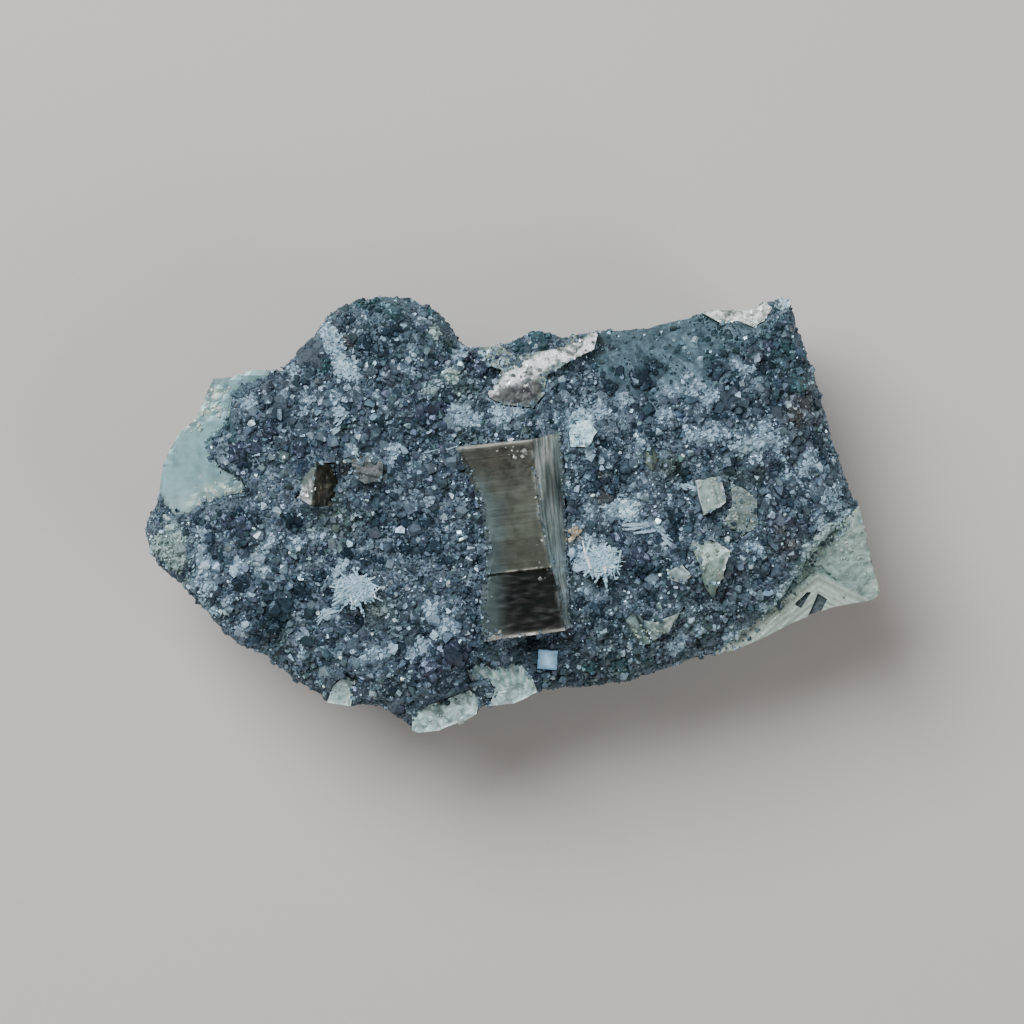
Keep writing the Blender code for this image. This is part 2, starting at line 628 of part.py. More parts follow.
def main():
    clear_scene()
    crust = material("slate-blue crystal crust", "53636B", 0.45, 0.25)
    bright_pyrite = material("bright broken pyrite", "D2D6C4", 0.3, 1.0)
    pale_pyrite = material("pale pyrite", "9CAEA6", 0.35, 0.9)
    dark_pyrite = material("dark striated pyrite", "6A6C5C", 0.3, 1.0)
    white = material("white spray crystals", "B4C6D0", 0.5, 0.0)
    tan = material("tan crystal", "8A8478", 0.6, 0.0)
    blue = material("pale blue crystal", "A8C4D6", 0.25, 0.0)

    slab = slab_of_crust(crust)
    striated_crystal(dark_pyrite)
    smooth_left_crystal(pale_pyrite)
    chevron_corner_crystal(pale_pyrite)
    broken_upper_crystal(bright_pyrite)
    upper_edge_crystal(bright_pyrite)
    lower_edge_crystals(pale_pyrite)
    right_hand_crystals(pale_pyrite)
    ridged_left_crystal(bright_pyrite)
    tan_crystal(tan)
    white_sprays(white)
    white_lump(white)
    pale_blue_cube(blue)
    cut_sockets(slab)


main()
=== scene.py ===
"""Looks of a pyrite specimen: pyrite crystals set in a slab of dark sulphide crust.

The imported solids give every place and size. Each is replaced here by a finer piece of the same form:
the crust by rock with thousands of small crystals on it, and each crystal by one with its growth
lines, chips and crumbs. Lengths in the modelling functions are millimetres; MM makes them metres.
"""

import math

import bmesh
import bpy
import numpy as np
from bpy.props import FloatProperty, FloatVectorProperty, IntProperty, PointerProperty
from bpy.types import Operator, Panel, PropertyGroup
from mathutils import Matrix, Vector, noise
from mathutils.bvhtree import BVHTree
from mathutils.kdtree import KDTree


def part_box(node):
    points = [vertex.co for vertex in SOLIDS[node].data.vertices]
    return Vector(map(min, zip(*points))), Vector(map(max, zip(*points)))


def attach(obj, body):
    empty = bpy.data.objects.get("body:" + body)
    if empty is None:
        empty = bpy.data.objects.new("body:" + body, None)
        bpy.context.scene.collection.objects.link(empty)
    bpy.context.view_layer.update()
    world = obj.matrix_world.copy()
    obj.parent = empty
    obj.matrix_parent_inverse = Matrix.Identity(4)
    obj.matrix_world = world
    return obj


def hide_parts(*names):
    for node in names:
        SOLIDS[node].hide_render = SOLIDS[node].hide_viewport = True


bl_info = {
    "name": "Pyrite Specimen",
    "version": (1, 0, 0),
    "blender": (4, 5, 0),
    "location": "3D View > Sidebar > Specimen",
    "description": "Crust, crystals and stage of a pyrite specimen, built over its solids",
    "category": "Object",
}

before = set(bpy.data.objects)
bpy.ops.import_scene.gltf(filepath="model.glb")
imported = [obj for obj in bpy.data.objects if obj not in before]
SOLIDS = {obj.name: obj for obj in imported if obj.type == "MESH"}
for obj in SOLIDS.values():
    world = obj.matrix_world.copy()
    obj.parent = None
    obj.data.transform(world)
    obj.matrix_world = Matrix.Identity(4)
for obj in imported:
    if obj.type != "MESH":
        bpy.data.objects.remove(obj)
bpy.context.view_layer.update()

MM = 0.001
CLOSE_TO_CRYSTAL = 0.45  # a point of the slab nearer than this to a crystal is in its socket
TOUCHING = 0.16  # a point of the rock nearer than this to a crystal is hidden by it
RIM_HEIGHT = 20.5  # usual height of the upper surface at its rim
LOWEST_TOP = 18  # the upper surface lies nowhere lower than this
OVERHEAD = 60  # a height over everything
RESTING = 1.0  # what lies lower than this stays on the surface that the specimen rests on

# Zones of the crust seen from above: x, y, radius and strength.
DUSTED = [
    (-24.5, 23.7, 1.6, 1.1), (-23.5, 22, 1.3, 1.1), (-22.5, 19.1, 1.5, 1), (-21.3, 18.6, 1.2, 0.9),
    (-23.3, 15.6, 0.9, 1.1), (-22.6, 13.5, 1.1, 1), (-23.7, 14, 0.7, 0.8), (-22.2, 8.9, 0.9, 0.6),
    (-20.6, 8.1, 0.7, 0.7), (-29.1, 18.8, 1.1, 1), (-27.5, 14.8, 1.1, 0.9), (-28, 13.2, 0.7, 0.6),
    (-35.2, 14.5, 1.3, 1.2), (-10.3, 24.2, 1.1, 0.9), (-7.9, 18.3, 1.2, 1.1), (-11.1, 16.1, 1.1, 0.9),
    (-9.9, 17.2, 0.8, 0.8), (-7, 13.2, 1.5, 1), (-5.4, 12.4, 1.3, 1.1), (-8.4, 13.7, 0.8, 0.8),
    (-1.9, 13.2, 1.2, 0.9), (0.1, 13.6, 1.1, 0.7), (1.7, 13.5, 0.9, 0.6), (8.7, 13.6, 1.3, 0.9),
    (12.1, 14, 1.3, 0.9), (10.6, 12.7, 1.3, 0.8), (3.9, 12.3, 1.1, 0.7), (5.9, 12.7, 0.8, 0.6),
    (-41.5, -5.8, 1.1, 1), (-41.7, -8.4, 1.1, 1), (-41.1, -10.4, 1.2, 0.9), (-41.4, -3, 0.9, 0.9),
    (-33.2, -4.2, 1.6, 0.8), (-28.5, -3.8, 1.3, 0.7), (-26.3, -3.1, 0.9, 0.6), (-38.2, -11.9, 0.9, 0.6),
    (-33.2, -7.8, 1.1, 0.7), (-36.3, -6.5, 0.9, 0.6), (-30.3, -6.6, 0.8, 0.5), (-35.6, -15.1, 0.9, 0.9),
    (-39.8, -13.2, 0.7, 0.9), (-28.4, -16.8, 0.8, 0.9), (-28, -19.2, 0.9, 0.8), (-22.4, -6.6, 1.1, 0.8),
    (-23.2, -8.4, 1.1, 0.8), (-20.8, -10.4, 1.9, 1), (-22.9, -13.2, 1.2, 0.8), (-24.9, -14, 0.8, 0.8),
    (-17.8, -12.8, 1.5, 0.8), (-18.9, -9.6, 1.1, 0.7), (-32.2, -10.4, 0.9, 0.7), (-25.9, -18.4, 0.7, 0.6),
    (-34.3, -6, 0.7, 0.6), (-37.7, -8.4, 0.8, 0.5), (-35, -11.1, 0.8, 0.5), (-40.3, -7, 0.8, 0.8),
    (-10.9, -13.2, 1.1, 0.8), (-8.7, -15.1, 1.2, 0.9), (-11.9, -18, 1.2, 0.9), (-13.3, -19.2, 0.8, 0.8),
    (-18, -19.1, 1.2, 1), (-16.1, -18.4, 0.9, 1), (-7.4, -16, 0.8, 0.7), (-9.5, -16.4, 0.8, 0.7),
    (-20, -20.3, 0.8, 0.6), (-24.3, -20.4, 0.8, 0.5), (-25.9, -23.1, 0.7, 0.6), (9.4, 10.7, 1.6, 1.4),
    (10.3, 8.4, 1.1, 0.8), (8.4, 8.9, 0.8, 0.8), (10.5, 2.9, 0.8, 0.8), (14.7, 0.6, 1.3, 1.1),
    (16.2, 0.3, 1.1, 1.1), (13.1, 0.1, 0.9, 0.9), (10.6, 0.3, 0.9, 0.7), (18.1, -2.1, 1.2, 0.8),
    (16.2, -2.1, 0.9, 0.8), (20, -1.9, 0.9, 0.8), (21, -3.7, 0.8, 0.7), (17.3, 9.7, 0.9, 0.7),
    (15, 9.3, 0.8, 0.8), (20.5, 13.1, 1.1, 0.9), (22, 12.4, 0.8, 0.8), (24, 10.9, 1.1, 0.9),
    (25.6, 10.3, 1.2, 0.9), (28.3, 10.5, 1.1, 0.8), (20.8, 16.5, 1.3, 0.9), (23.7, 18.6, 1.1, 0.9),
    (25.3, 20.2, 0.9, 0.9), (26.3, 15.3, 1.2, 1), (27.5, 16, 0.9, 0.8), (15.4, 15.3, 1.1, 0.9),
    (17.3, 15.3, 0.8, 0.7), (24, 16.3, 0.9, 0.8), (29.9, 19.9, 0.9, 0.8), (32, 19.6, 0.8, 0.9),
    (33.9, 11.5, 0.9, 0.9), (31.5, 8.9, 1.2, 0.9), (33.4, 10, 0.9, 0.7), (36, 9, 1.1, 0.7),
    (30, 8.5, 0.9, 0.7), (33.1, 6.8, 0.9, 0.6), (38.9, 5.4, 1.1, 0.6), (37.1, 4.6, 1.1, 0.7),
    (40.7, 8.1, 0.9, 0.6), (42.7, 1.7, 1.2, 1.1), (43.8, 2.7, 0.9, 0.9), (44.8, 0.3, 0.9, 0.7),
    (41.7, -0.7, 0.8, 0.6), (22.6, 3.6, 0.8, 0.7), (24.5, 3.4, 0.7, 0.9), (16.2, 3.6, 0.5, 0.8),
    (17.3, 2.3, 0.5, 0.7), (29.6, -12, 0.9, 0.7), (32, -10.7, 0.9, 0.7), (33.1, -5.3, 1.1, 0.6),
    (31.5, -4.1, 0.9, 0.6), (22.9, -17.1, 0.8, 0.8), (21.4, -18.4, 0.8, 0.7), (25.3, -16.1, 0.8, 0.6),
    (29.5, -17.2, 0.9, 0.7), (18.4, -6.4, 0.7, 0.5), (10.1, -10.4, 0.8, 0.6), (8.8, -1.9, 0.9, 0.8),
    (10.2, -3.7, 1.1, 0.9), (11, -6.4, 2.4, 0.9), (13.5, -7.7, 1.3, 0.8), (8.6, -5.7, 1.1, 0.7),
    (8.7, 5.7, 0.7, 0.6), (7.9, 3.7, 0.7, 0.6), (19.3, -9.7, 0.8, 0.5), (21, 1.9, 0.8, 0.5),
    (14.1, 12.7, 0.8, 0.6), (25.3, 17.1, 0.8, 0.7), (22.4, 17.1, 0.8, 0.7), (41.4, 6.4, 0.8, 0.6),
    (39.8, 6.8, 0.7, 0.5), (44.1, -2.3, 0.8, 0.5), (35.4, -6.4, 0.7, 0.4), (20.2, 8.4, 0.7, 0.5),
    (27.3, 11.7, 0.8, 0.6), (19.3, 11.1, 0.7, 0.4), (-47, -4.4, 1.7, 0.8), (-44.9, -6.4, 1.5, 0.8),
    (-46, -1.3, 1.1, 0.6), (-43.6, -9.6, 0.9, 0.7), (-44.4, -3.4, 1.1, 0.6), (43, -2.6, 1.5, 0.9),
    (40.7, -4.8, 1.5, 0.9), (39.3, -7.4, 1.2, 0.8), (37.1, -10.1, 1.1, 0.7), (45.4, -1.7, 1.2, 0.8),
    (34.7, -13.1, 0.8, 0.6), (31.4, -16.3, 0.8, 0.7), (-0.8, 11.7, 1.1, 0.5), (4.6, 18, 1.1, 0.6),
    (8.6, 17.5, 0.8, 0.7), (6.6, 18, 0.8, 0.6), (11.9, 22.4, 1.2, 0.9), (13.3, 21.5, 0.8, 0.6),
    (-6.2, 21.5, 0.9, 1), (-13.5, 22.4, 0.9, 0.5), (-14.9, 19.8, 1.1, 0.5), (-12.9, 18.4, 1.1, 0.5),
    (-15.5, 8.4, 0.9, 0.7), (-16.2, 6.8, 0.7, 0.7), (-13.5, 6.4, 0.7, 0.5), (-14.9, 15.1, 0.8, 0.4),
    (-18.2, 15.7, 0.7, 0.6), (-20.5, 25.1, 1.1, 0.5), (-12.2, 25.8, 0.9, 0.7), (-13.3, 21.1, 0.8, 0.6),
    (-7.5, 21.1, 0.8, 0.5), (36.7, 28.2, 0.8, 1.2), (37, 23.8, 1.1, 0.6), (33.4, 24.2, 0.8, 0.5),
    (33.4, 22.4, 0.7, 0.5), (38.7, 20.8, 0.5, 0.9), (36.7, 16.4, 0.7, 0.4), (40.3, 17.1, 0.7, 0.6),
    (-10.9, 3.7, 0.8, 0.4), (-12.9, 2.1, 0.8, 0.7), (-18.9, 4.4, 0.7, 0.3), (-20.2, 1, 0.7, 0.3),
    (-3.5, 3, 0.7, 0.4), (-5.5, -0.3, 0.8, 0.7), (-6.2, -3.4, 0.7, 0.7), (-14.9, -3.7, 0.8, 0.4),
    (-8.8, -9, 0.7, 0.8), (-20.9, -19.1, 0.7, 0.3), (4.6, -14.4, 0.5, 0.3), (36.6, -11, 1, 1),
    (35.3, -13, 0.9, 1), (33.8, -15.2, 0.9, 1), (32, -16.6, 0.8, 0.9), (38.2, -8.8, 1, 0.9), (36, 9, 5, 0.2),
    (28, 12, 5, 0.12), (24, -17, 5, 0.2), (33, -11, 4, 0.15), (-34, -8, 6, 0.15), (-9, -15, 6, 0.15),
    (-46, -4.5, 2.4, 0.3), (38.6, 13.4, 1.4, 0.5),
]
GREENISH = [
    (43, -2.6, 1.9, 1), (40.7, -5, 1.7, 1), (39.1, -7.7, 1.3, 1), (36.7, -10.4, 1.3, 0.8),
    (45.4, -1.7, 1.3, 1), (31.4, -16.3, 1.1, 0.8), (-44.4, -3, 1.6, 0.8),
    (-7.9, 18.3, 1.3, 1), (-10.2, 24.2, 1.6, 0.8), (-10.9, 16.4, 1.3, 0.6), (-18.2, -13.3, 2.1, 0.9),
    (-47, -4.4, 2.1, 1), (-45, -6.4, 1.9, 1), (-44.4, -9, 1.3, 0.9), (-46.4, -1, 1.3, 0.6),
    (-9.5, 21.8, 1.3, 0.5), (31.5, 8.9, 1.9, 0.4), (28, 5.7, 1.3, 0.8), (30, -0.3, 2.4, 0.6),
    (17.3, -11.7, 1.6, 0.4), (-34.3, -6.4, 1.6, 0.4), (-0.1, 11.1, 1.3, 0.3), (10.6, 21.8, 1.3, 0.2),
    (-21.6, -18.4, 1.6, 0.3), (36, 24.5, 1.9, 0.4), (-20.2, 24.5, 1.3, 0.6),
    (-6.2, 17.1, 1.3, 0.6), (35.3, -13, 1.5, 0.8), (33.8, -15.2, 1.3, 0.8),
]
BARE = [
    (-7.5, -19.1, 2.4, 1.2), (-10.7, -21, 2, 1), (-16.8, 27.3, 2.7, 0.8), (-31.2, 14.5, 2.4, 0.9),
    (-26.7, 21, 2.1, 0.8), (-31.5, -13.3, 2.7, 0.8), (-36.3, -1.7, 2.4, 0.9), (17.3, -5.7, 1.9, 1),
    (13, 10.9, 1.6, 0.9), (13, 7.3, 1.6, 0.8), (24.8, 13.5, 1.6, 0.8), (30, 14.9, 1.9, 0.8),
    (17.3, 18.8, 1.9, 0.8), (38.7, 17, 1.9, 0.6), (18.6, 20.4, 1.6, 0.4), (-10.5, 13.5, 1.6, 0.8),
    (-19.4, 22.3, 1.9, 0.8), (-13.3, -1, 3.2, 0.4), (-10.1, -4.5, 3.2, 0.4), (-24.3, 4.4, 2.1, 0.7),
    (11.9, 19.8, 4, 0.6), (17.3, 21.8, 4, 0.6), (24, 22.4, 3.2, 0.6), (36, 21.8, 2.1, 0.6),
    (-24.3, 1.7, 1.9, 0.5), (-14.9, -25.1, 1.9, 0.4), (-35, 8.9, 2.1, 0.5), (-21.3, 15.3, 1.6, 0.6),
]

# Larger lumps of the crust: x, y and width, under the setting that colours them.
LUMPS = {
    "slate": [
        (-31.2, 14.5, 4.3), (-26.7, 21, 3.8), (-30.2, 17, 2.7), (-33.1, 16.7, 2.1), (-25.5, 15.6, 2.3),
        (-28.3, 10.8, 2), (-30.7, 9.6, 1.9), (-21, 15.6, 2.9), (-16.5, 13.6, 2), (-21.3, -17.8, 2.7),
        (-13.3, -13.1, 2.5), (-13.4, -15.7, 2.1), (-5.5, -15.2, 2.1), (-15.4, -25.3, 2.4),
        (-11.5, -23.8, 2.4), (13, 10.9, 2.8), (13.1, 7.3, 2.7), (12.5, -1.9, 2), (24.8, 13.5, 2.7),
        (7, 15.6, 2.3), (8.3, 14.3, 1.9), (30, 14.9, 3.5), (32.8, 21, 2.7), (34, 15.6, 2.4),
        (32.8, 13.6, 2.4), (37.8, 8.6, 2.8), (40.3, 3, 2.5), (34.3, 1.1, 2.7), (32.3, 6.4, 2),
        (37.7, 3.3, 1.9), (28.5, 9.4, 1.5), (21.4, 11.9, 2.1), (31.4, -11.9, 2), (27.5, -14.3, 1.9),
        (33.6, -7.8, 2.4), (24, -17.1, 1.6), (10.5, -18.4, 2.4), (14.6, -17.2, 2), (-35.6, 12.9, 1.7),
        (-27.6, -3.7, 1.3), (-7.9, 5.7, 2.1), (-5.5, 7.7, 1.6), (-13.8, 4.4, 1.9), (-10.9, 1.7, 2.7),
        (-15.5, -0.3, 1.6), (17.3, 15.1, 1.6), (19.3, 8.6, 1.6), (10.6, 18.3, 1.9), (8.6, 17.1, 1.6),
        (25.3, -4.4, 1.6), (30, -3, 1.7), (34.7, -11.7, 1.3), (-18.6, 18.8, 1.9), (-16.2, 18.4, 2.4),
        (-11.7, 20.2, 1.9), (-13.5, 9.7, 1.6), (-17.8, 11.1, 1.6),
    ],
    "dark": [
        (-19.4, 22.3, 2.5), (-17.3, 21.5, 1.7), (-21.8, 26.1, 1.7), (-15.4, 24.5, 2.1),
        (-31.5, -12.5, 3.8), (-31.8, -15.3, 2.7), (-32, -17.1, 1.9), (-28, -10.7, 2.3), (-29.3, -1.1, 2.4),
        (-22.2, -5.3, 1.9), (-19.4, -6.2, 1.6), (10.6, 3.8, 2.3), (17.4, 18, 2.9), (19.3, 19.6, 2),
        (18.9, 10.4, 1.9), (27.5, 19, 2.4), (29.7, 17.1, 2.1), (34.4, 19.6, 2), (38.7, 20.4, 2.1),
        (35.6, 6.2, 1.6), (41.4, 9.6, 1.5), (11.5, -13.2, 1.9), (9.2, -12, 1.6), (18.9, -11.6, 1.6),
        (-10.1, -4.5, 2.1), (-14.1, -4.8, 1.9), (-11.5, -1, 1.9), (-25.6, -8.4, 1.7), (-8.4, -6.4, 1.6),
        (-24.3, -10.4, 1.3), (-36.3, -9.7, 2.1), (13.3, 16.7, 1.9), (20.6, -7, 1.6), (17.3, -7.7, 1.6),
        (13.5, 3, 1.9), (22.1, -0.3, 1.9), (21.6, -3, 1.9), (24, -1, 1.3), (-10.1, 9.7, 1.3),
        (-34.3, -1, 1.9), (-22.9, 24.5, 1.3), (-20.2, -14.4, 1.3), (-24.3, -17.1, 1.3), (36, 13.7, 1.6),
        (17.3, -17.1, 1.6), (6.6, -10.4, 1.3), (25.3, -11.7, 1.1),
    ],
    "violet": [
        (-7.5, -19.2, 3.4), (-10.7, -21, 2.8), (17.3, -5.7, 2.8), (15.7, -7, 1.9), (14.3, -3.3, 1.9),
        (-36.9, 8.1, 2.1), (-34.3, 8.9, 2.4), (-4.2, 19.1, 1.9), (-5.5, 20.8, 1.6), (-3.5, 21.5, 1.6),
        (30, 6.4, 1.6), (-28.3, 8.4, 1.9), (-4.2, -17.1, 1.6), (-6.6, -23.8, 1.9), (-8.8, -25.1, 1.6),
        (-10.9, 4.4, 1.9), (34.7, 22.4, 1.6), (-36, -1.9, 2.7), (-37.9, -1.3, 1.9), (-32.3, 10.8, 1.9),
        (-10.5, 13.5, 2.4), (-12.2, 12.7, 1.6), (-8.8, 14, 1.3),
    ],
    "teal": [
        (-15.9, 27, 2.4), (-18.1, 27.7, 2.1), (-20, 28.1, 1.6), (-24.9, 19.6, 2), (38.7, 17, 2.4),
        (37, 22.3, 2.3), (3.9, 23.4, 3.2), (1.2, 22.4, 2.1), (13.3, -10.4, 1.3), (18.6, -20, 1.9),
        (14.6, -20.4, 2.1), (10.6, -20.8, 1.9), (-10.9, 27.1, 1.3), (-8.4, 22.4, 1.6), (-38.3, 14.4, 1.1),
        (-38.3, 11.7, 1.1),
    ],
    "rusty": [
        (7.6, -3.1, 1.9), (8.6, -2.5, 1.3), (6.9, -4.2, 1.0),
    ],
    "brown": [
        (38.1, 12.9, 2.1), (39.4, 14.8, 1.6), (37.4, -4.4, 1.9), (36, -2.3, 1.6), (-21.8, 23.1, 1.6),
        (12.5, 1.9, 1.9), (12.3, 4.9, 1.3), (-22.2, 6, 1.6), (-24.3, 5.7, 1.3),
    ],
}

# Zones on and round the darker ones.
DARKER_LUMPS = [lump for tint in ("slate", "dark", "violet") for lump in LUMPS[tint]]
ON_LUMPS = [(x, y, 0.38 * width, 1.2) for x, y, width in DARKER_LUMPS]
AROUND_LUMPS = [(x, y, 0.6 * width, 1.0) for x, y, width in DARKER_LUMPS]

# Painted glints: single white grains that stand for flashes of reflected light on cleavage faces: x, y and
# width.
PAINTED_GLINTS = [
    (-34.7, 11.9, 1.2), (-30.4, 7.4, 0.7), (-17.8, 16.3, 0.5), (-29.5, -5.4, 0.9), (-25.9, -13.5, 0.8),
    (-14.6, -20.7, 1.1), (-14.5, -22.4, 0.8), (-22.9, -19.5, 0.7), (-8.3, -9.3, 0.8), (-9.1, 6.8, 0.4),
    (-10.1, 5.8, 0.5), (-6.6, -3.6, 0.8), (-5.5, -0.5, 0.8), (-4.6, -11.7, 0.5), (23, 7.6, 0.7),
    (20, -8.4, 0.8), (28.7, -5.4, 0.9), (38.7, 20.8, 0.5), (-20, 26.5, 0.5), (-20.9, 23.4, 0.5),
    (-22.2, 6.8, 0.7), (11, 2.3, 0.7), (14.6, 8, 0.5), (8.2, 6, 0.5), (34.4, -8.1, 0.4), (36.7, -0.3, 0.5),
    (21, -7.7, 0.5), (-15.5, 7.2, 0.5), (-18.6, -16.3, 0.5), (-25.3, -23.5, 0.5), (-39.1, -13.3, 0.8),
    (-43.3, -1.5, 0.5), (-46.6, -0.5, 0.7), (-9.1, 18.7, 0.5), (0.9, 8, 0.5), (-14.9, 8.1, 0.4),
    (-44.1, 9.6, 0.5), (-11.9, 20.4, 0.5), (-13.7, 14.8, 0.5), (-8.4, 17.8, 0.4), (5.2, 17.6, 0.4),
    (8.2, 17.6, 0.4),
]

# Zones where the crust or its dusting has another colour, and where it is smooth.
TEAL = [
    (13, 22.6, 4, 0.8), (18, 20.4, 5, 0.8), (25, 23.2, 6, 0.7), (34, 22.8, 5, 0.45), (38.4, 20, 3.4, 0.5),
    (-15.5, 24.5, 6, 0.45), (-38.4, 11.5, 1.8, 0.8), (-36.6, 15.8, 1.8, 0.5), (30, 10.5, 2, 0.5),
]
VIOLET = [
    (-8.4, -19.1, 2.6, 0.7), (-10.9, -21.6, 2.4, 0.6), (-32.6, 12.6, 2.6, 0.4), (-36.3, -10.4, 2.4, 0.4),
    (-6.2, 5.2, 2.2, 0.5), (15.6, -6.4, 2.2, 0.6), (33, 6.4, 2, 0.4), (36, -1, 3, 0.4), (-4, 20, 2.4, 0.6),
]
BROWN = [
    (38.6, 13.2, 2.4, 0.9), (39.6, 16.5, 1.6, 0.6), (-21.8, 23.2, 1.4, 0.5), (37.4, -4, 2.4, 0.8),
    (28.6, -2, 1.6, 0.4), (12.6, 2.4, 1.6, 0.6), (-22.5, 6.4, 1.6, 0.5), (19, 0.6, 1.4, 0.4),
]
OLIVE = [
    (-23.6, -1, 3.2, 0.6), (-17.5, -13, 3, 0.5), (21.4, 6.2, 1.8, 0.8), (12.5, -20, 4, 0.5),
    (25, -15.5, 4, 0.4), (-30, -17, 3, 0.3), (-6.6, 16.6, 2.2, 0.6), (30.5, 5.5, 3, 0.5),
    (-5, 8.6, 2, 0.5), (9.4, -9, 2, 0.5),
]
SMOOTH = [
    (18, 21.4, 6, 1.0), (10, 23.2, 3, 0.8), (26, 23, 5, 0.8), (-38.2, 12.6, 1.6, 1.0), (15, 19.4, 4, 0.8),
    (22, 20.6, 4, 0.8),
]
WHITE = [
    (9.4, 10.6, 1.7, 1.2), (14.7, 0.6, 1.3, 1), (16.2, 0.3, 1.1, 1), (36.8, 28.2, 0.9, 1),
    (-42.1, -2, 0.8, 0.6), (-41.8, -4.5, 0.8, 0.6), (-41.6, -7, 0.8, 0.7), (-41.1, -9.6, 0.8, 0.7),
    (-40.8, -11.6, 0.7, 0.5), (-33.2, -4.2, 1.4, 0.4), (-28.5, -3.8, 1.2, 0.4), (-33.2, -7.8, 1, 0.4),
    (-22.4, -7, 1.3, 0.5), (-20.8, -10.4, 2.2, 0.6), (-24.5, 23.7, 1.4, 0.4), (-22.5, 19.1, 1.4, 0.4),
    (11, -6.4, 2.4, 0.5),
]
RUSTY = [(7.7, -3.5, 0.9, 1.0), (8.6, -3.2, 0.7, 0.8), (38.6, 13.4, 1.6, 0.35)]

# Pale blades lying on the crust: x, y, degrees, length and width.
BLADES = [
    (-9.9, 8.2, 13, 5.4, 0.35), (17.3, -2.1, 2, 4.8, 1.0), (21, -3.7, -35, 3.0, 0.6),
    (-22.6, 13.3, 35, 2.2, 0.5), (-22.9, 12.2, 33, 2.6, 0.5), (-23.2, 11.1, 28, 2.6, 0.5),
    (-20.7, 8.1, -62, 2.2, 0.45),
    (23.7, 3.4, -25, 2.4, 0.7), (-25.6, -14.2, 52, 1.7, 0.45), (-24.2, -13.2, 14, 2.6, 0.5),
]



# Settings


def linear(hex_colour):
    """Linear red, green and blue of an sRGB colour written as six hex digits."""
    channels = [int(hex_colour[i : i + 2], 16) / 255 for i in (0, 2, 4)]
    return tuple(c / 12.92 if c < 0.04045 else ((c + 0.055) / 1.055) ** 2.4 for c in channels)


def colour(name, description, hex_colour):
    return FloatVectorProperty(
        name=name, description=description, subtype="COLOR", size=3, min=0, max=1,
        default=linear(hex_colour),
    )


def length(name, description, millimetres):
    return FloatProperty(
        name=name, description=description, subtype="DISTANCE", unit="LENGTH", precision=5,
        min=0.00001, max=5, default=millimetres * MM,
    )


def amount(name, description, default, highest):
    return FloatProperty(name=name, description=description, default=default, min=0, max=highest)


class CrustSettings(PropertyGroup):
    crystal_width: length("Crystal width", "Usual width of the crust's larger crystals", 0.76)
    crystal_spacing: length("Crystal spacing", "Distance between them on the upper surface", 0.92)
    middle_width: length("Middle width", "Width of the crystals between them", 0.5)
    side_spacing: length("Side spacing", "Distance between them on the broken sides", 1.25)
    fine_width: length("Fine width", "Width of the finest crystals", 0.3)
    dust_spacing: length("Dust spacing", "Distance between the pale crumbs", 0.4)
    sunk: length("Rock depth", "How far the rock lies below the crystals' tips", 0.45)
    dark: colour("Dark crystals", "Colour of the darkest crystals", "364B58")
    slate: colour("Slate crystals", "Colour of most crystals", "667986")
    steel: colour("Steel crystals", "Colour of the lightest crystals", "98B0BE")
    dust: colour("Dusting", "Colour of the pale dusting between the crystals", "B2D2E2")
    teal: colour("Teal crust", "Colour of the smooth band along the upper edge", "466870")
    violet: colour("Violet crystals", "Colour of the bluish violet lumps", "566377")
    brown: colour("Brown crystals", "Colour of the brownish crystals", "596064")
    olive: colour("Olive crystals", "Colour of the greenish crystals", "5A6B63")
    greenish: colour("Greenish dusting", "Colour of the dusting where it is greenish", "A4BCB4")
    # Also the colour of the painted glints: white grains that stand for flashes of reflected light.
    white: colour("White dusting", "Colour of the brightest crumbs and cleavage faces", "D4F0FA")
    rusty: colour("Rusty grains", "Colour of the orange-brown grains", "CFC0A6")
    rock: colour("Broken rock", "Colour of the broken sides and the underside", "60747F")


class PyriteSettings(PropertyGroup):
    line_spacing: length("Growth lines", "Usual distance between the large crystal's growth lines", 0.26)
    line_height: length("Line height", "Height of its growth lines", 0.004)
    pale: colour("Pale pyrite", "Colour of the smooth face on the left", "86AFB2")
    # Near white, paler than pyrite's own colour: partly a painted highlight, on the broken band and the
    # ridged crystal's lit face.
    bright: colour("Bright pyrite", "Colour of freshly broken pyrite", "F2FAF7")
    # Darker than pyrite's own colour: a painted reflection of the dark surroundings that the long face
    # mirrors from above.
    dark: colour("Dark pyrite", "Colour of the large crystal's face", "565C51")
    crumb_width: length("Crumb width", "Width of the crumbs on broken pyrite", 0.32)


class WhiteCrystalSettings(PropertyGroup):
    needles: IntProperty(
        name="Needles", description="Half the number of needles in each spray", default=200, min=10, max=400,
    )
    needle_width: length("Needle width", "Width of a needle at its root", 0.26)
    white: colour("White crystals", "Colour of the sprays", "C0E4F4")


class StageSettings(PropertyGroup):
    floor: colour("Floor", "Colour of the floor", "CFCBC5")
    sky: colour("Surrounding light", "Colour of the light from all round", "BCCCDD")
    sky_strength: amount("Surrounding strength", "Strength of the light from all round", 1.32, 5)
    key_power: amount("Key power", "Power of the main lamp in watts", 11.5, 100)
    fill_power: amount("Fill power", "Power of the second lamp in watts", 3.0, 100)
    camera_height: length("Camera height", "Height of the camera over the floor", 599.0)


SETTINGS = {
    "specimen_crust": CrustSettings,
    "specimen_pyrite": PyriteSettings,
    "specimen_white": WhiteCrystalSettings,
    "specimen_stage": StageSettings,
}


# Modelling by hand


def pick(obj):
    """Makes this the only selected object, and the active one."""
    bpy.ops.object.select_all(action="DESELECT")
    obj.select_set(True)
    bpy.context.view_layer.objects.active = obj


def edit(obj):
    """Opens an object in edit mode with all of it selected."""
    pick(obj)
    bpy.ops.object.mode_set(mode="EDIT")
    bpy.ops.mesh.select_all(action="SELECT")


def close_edit():
    bpy.ops.object.mode_set(mode="OBJECT")


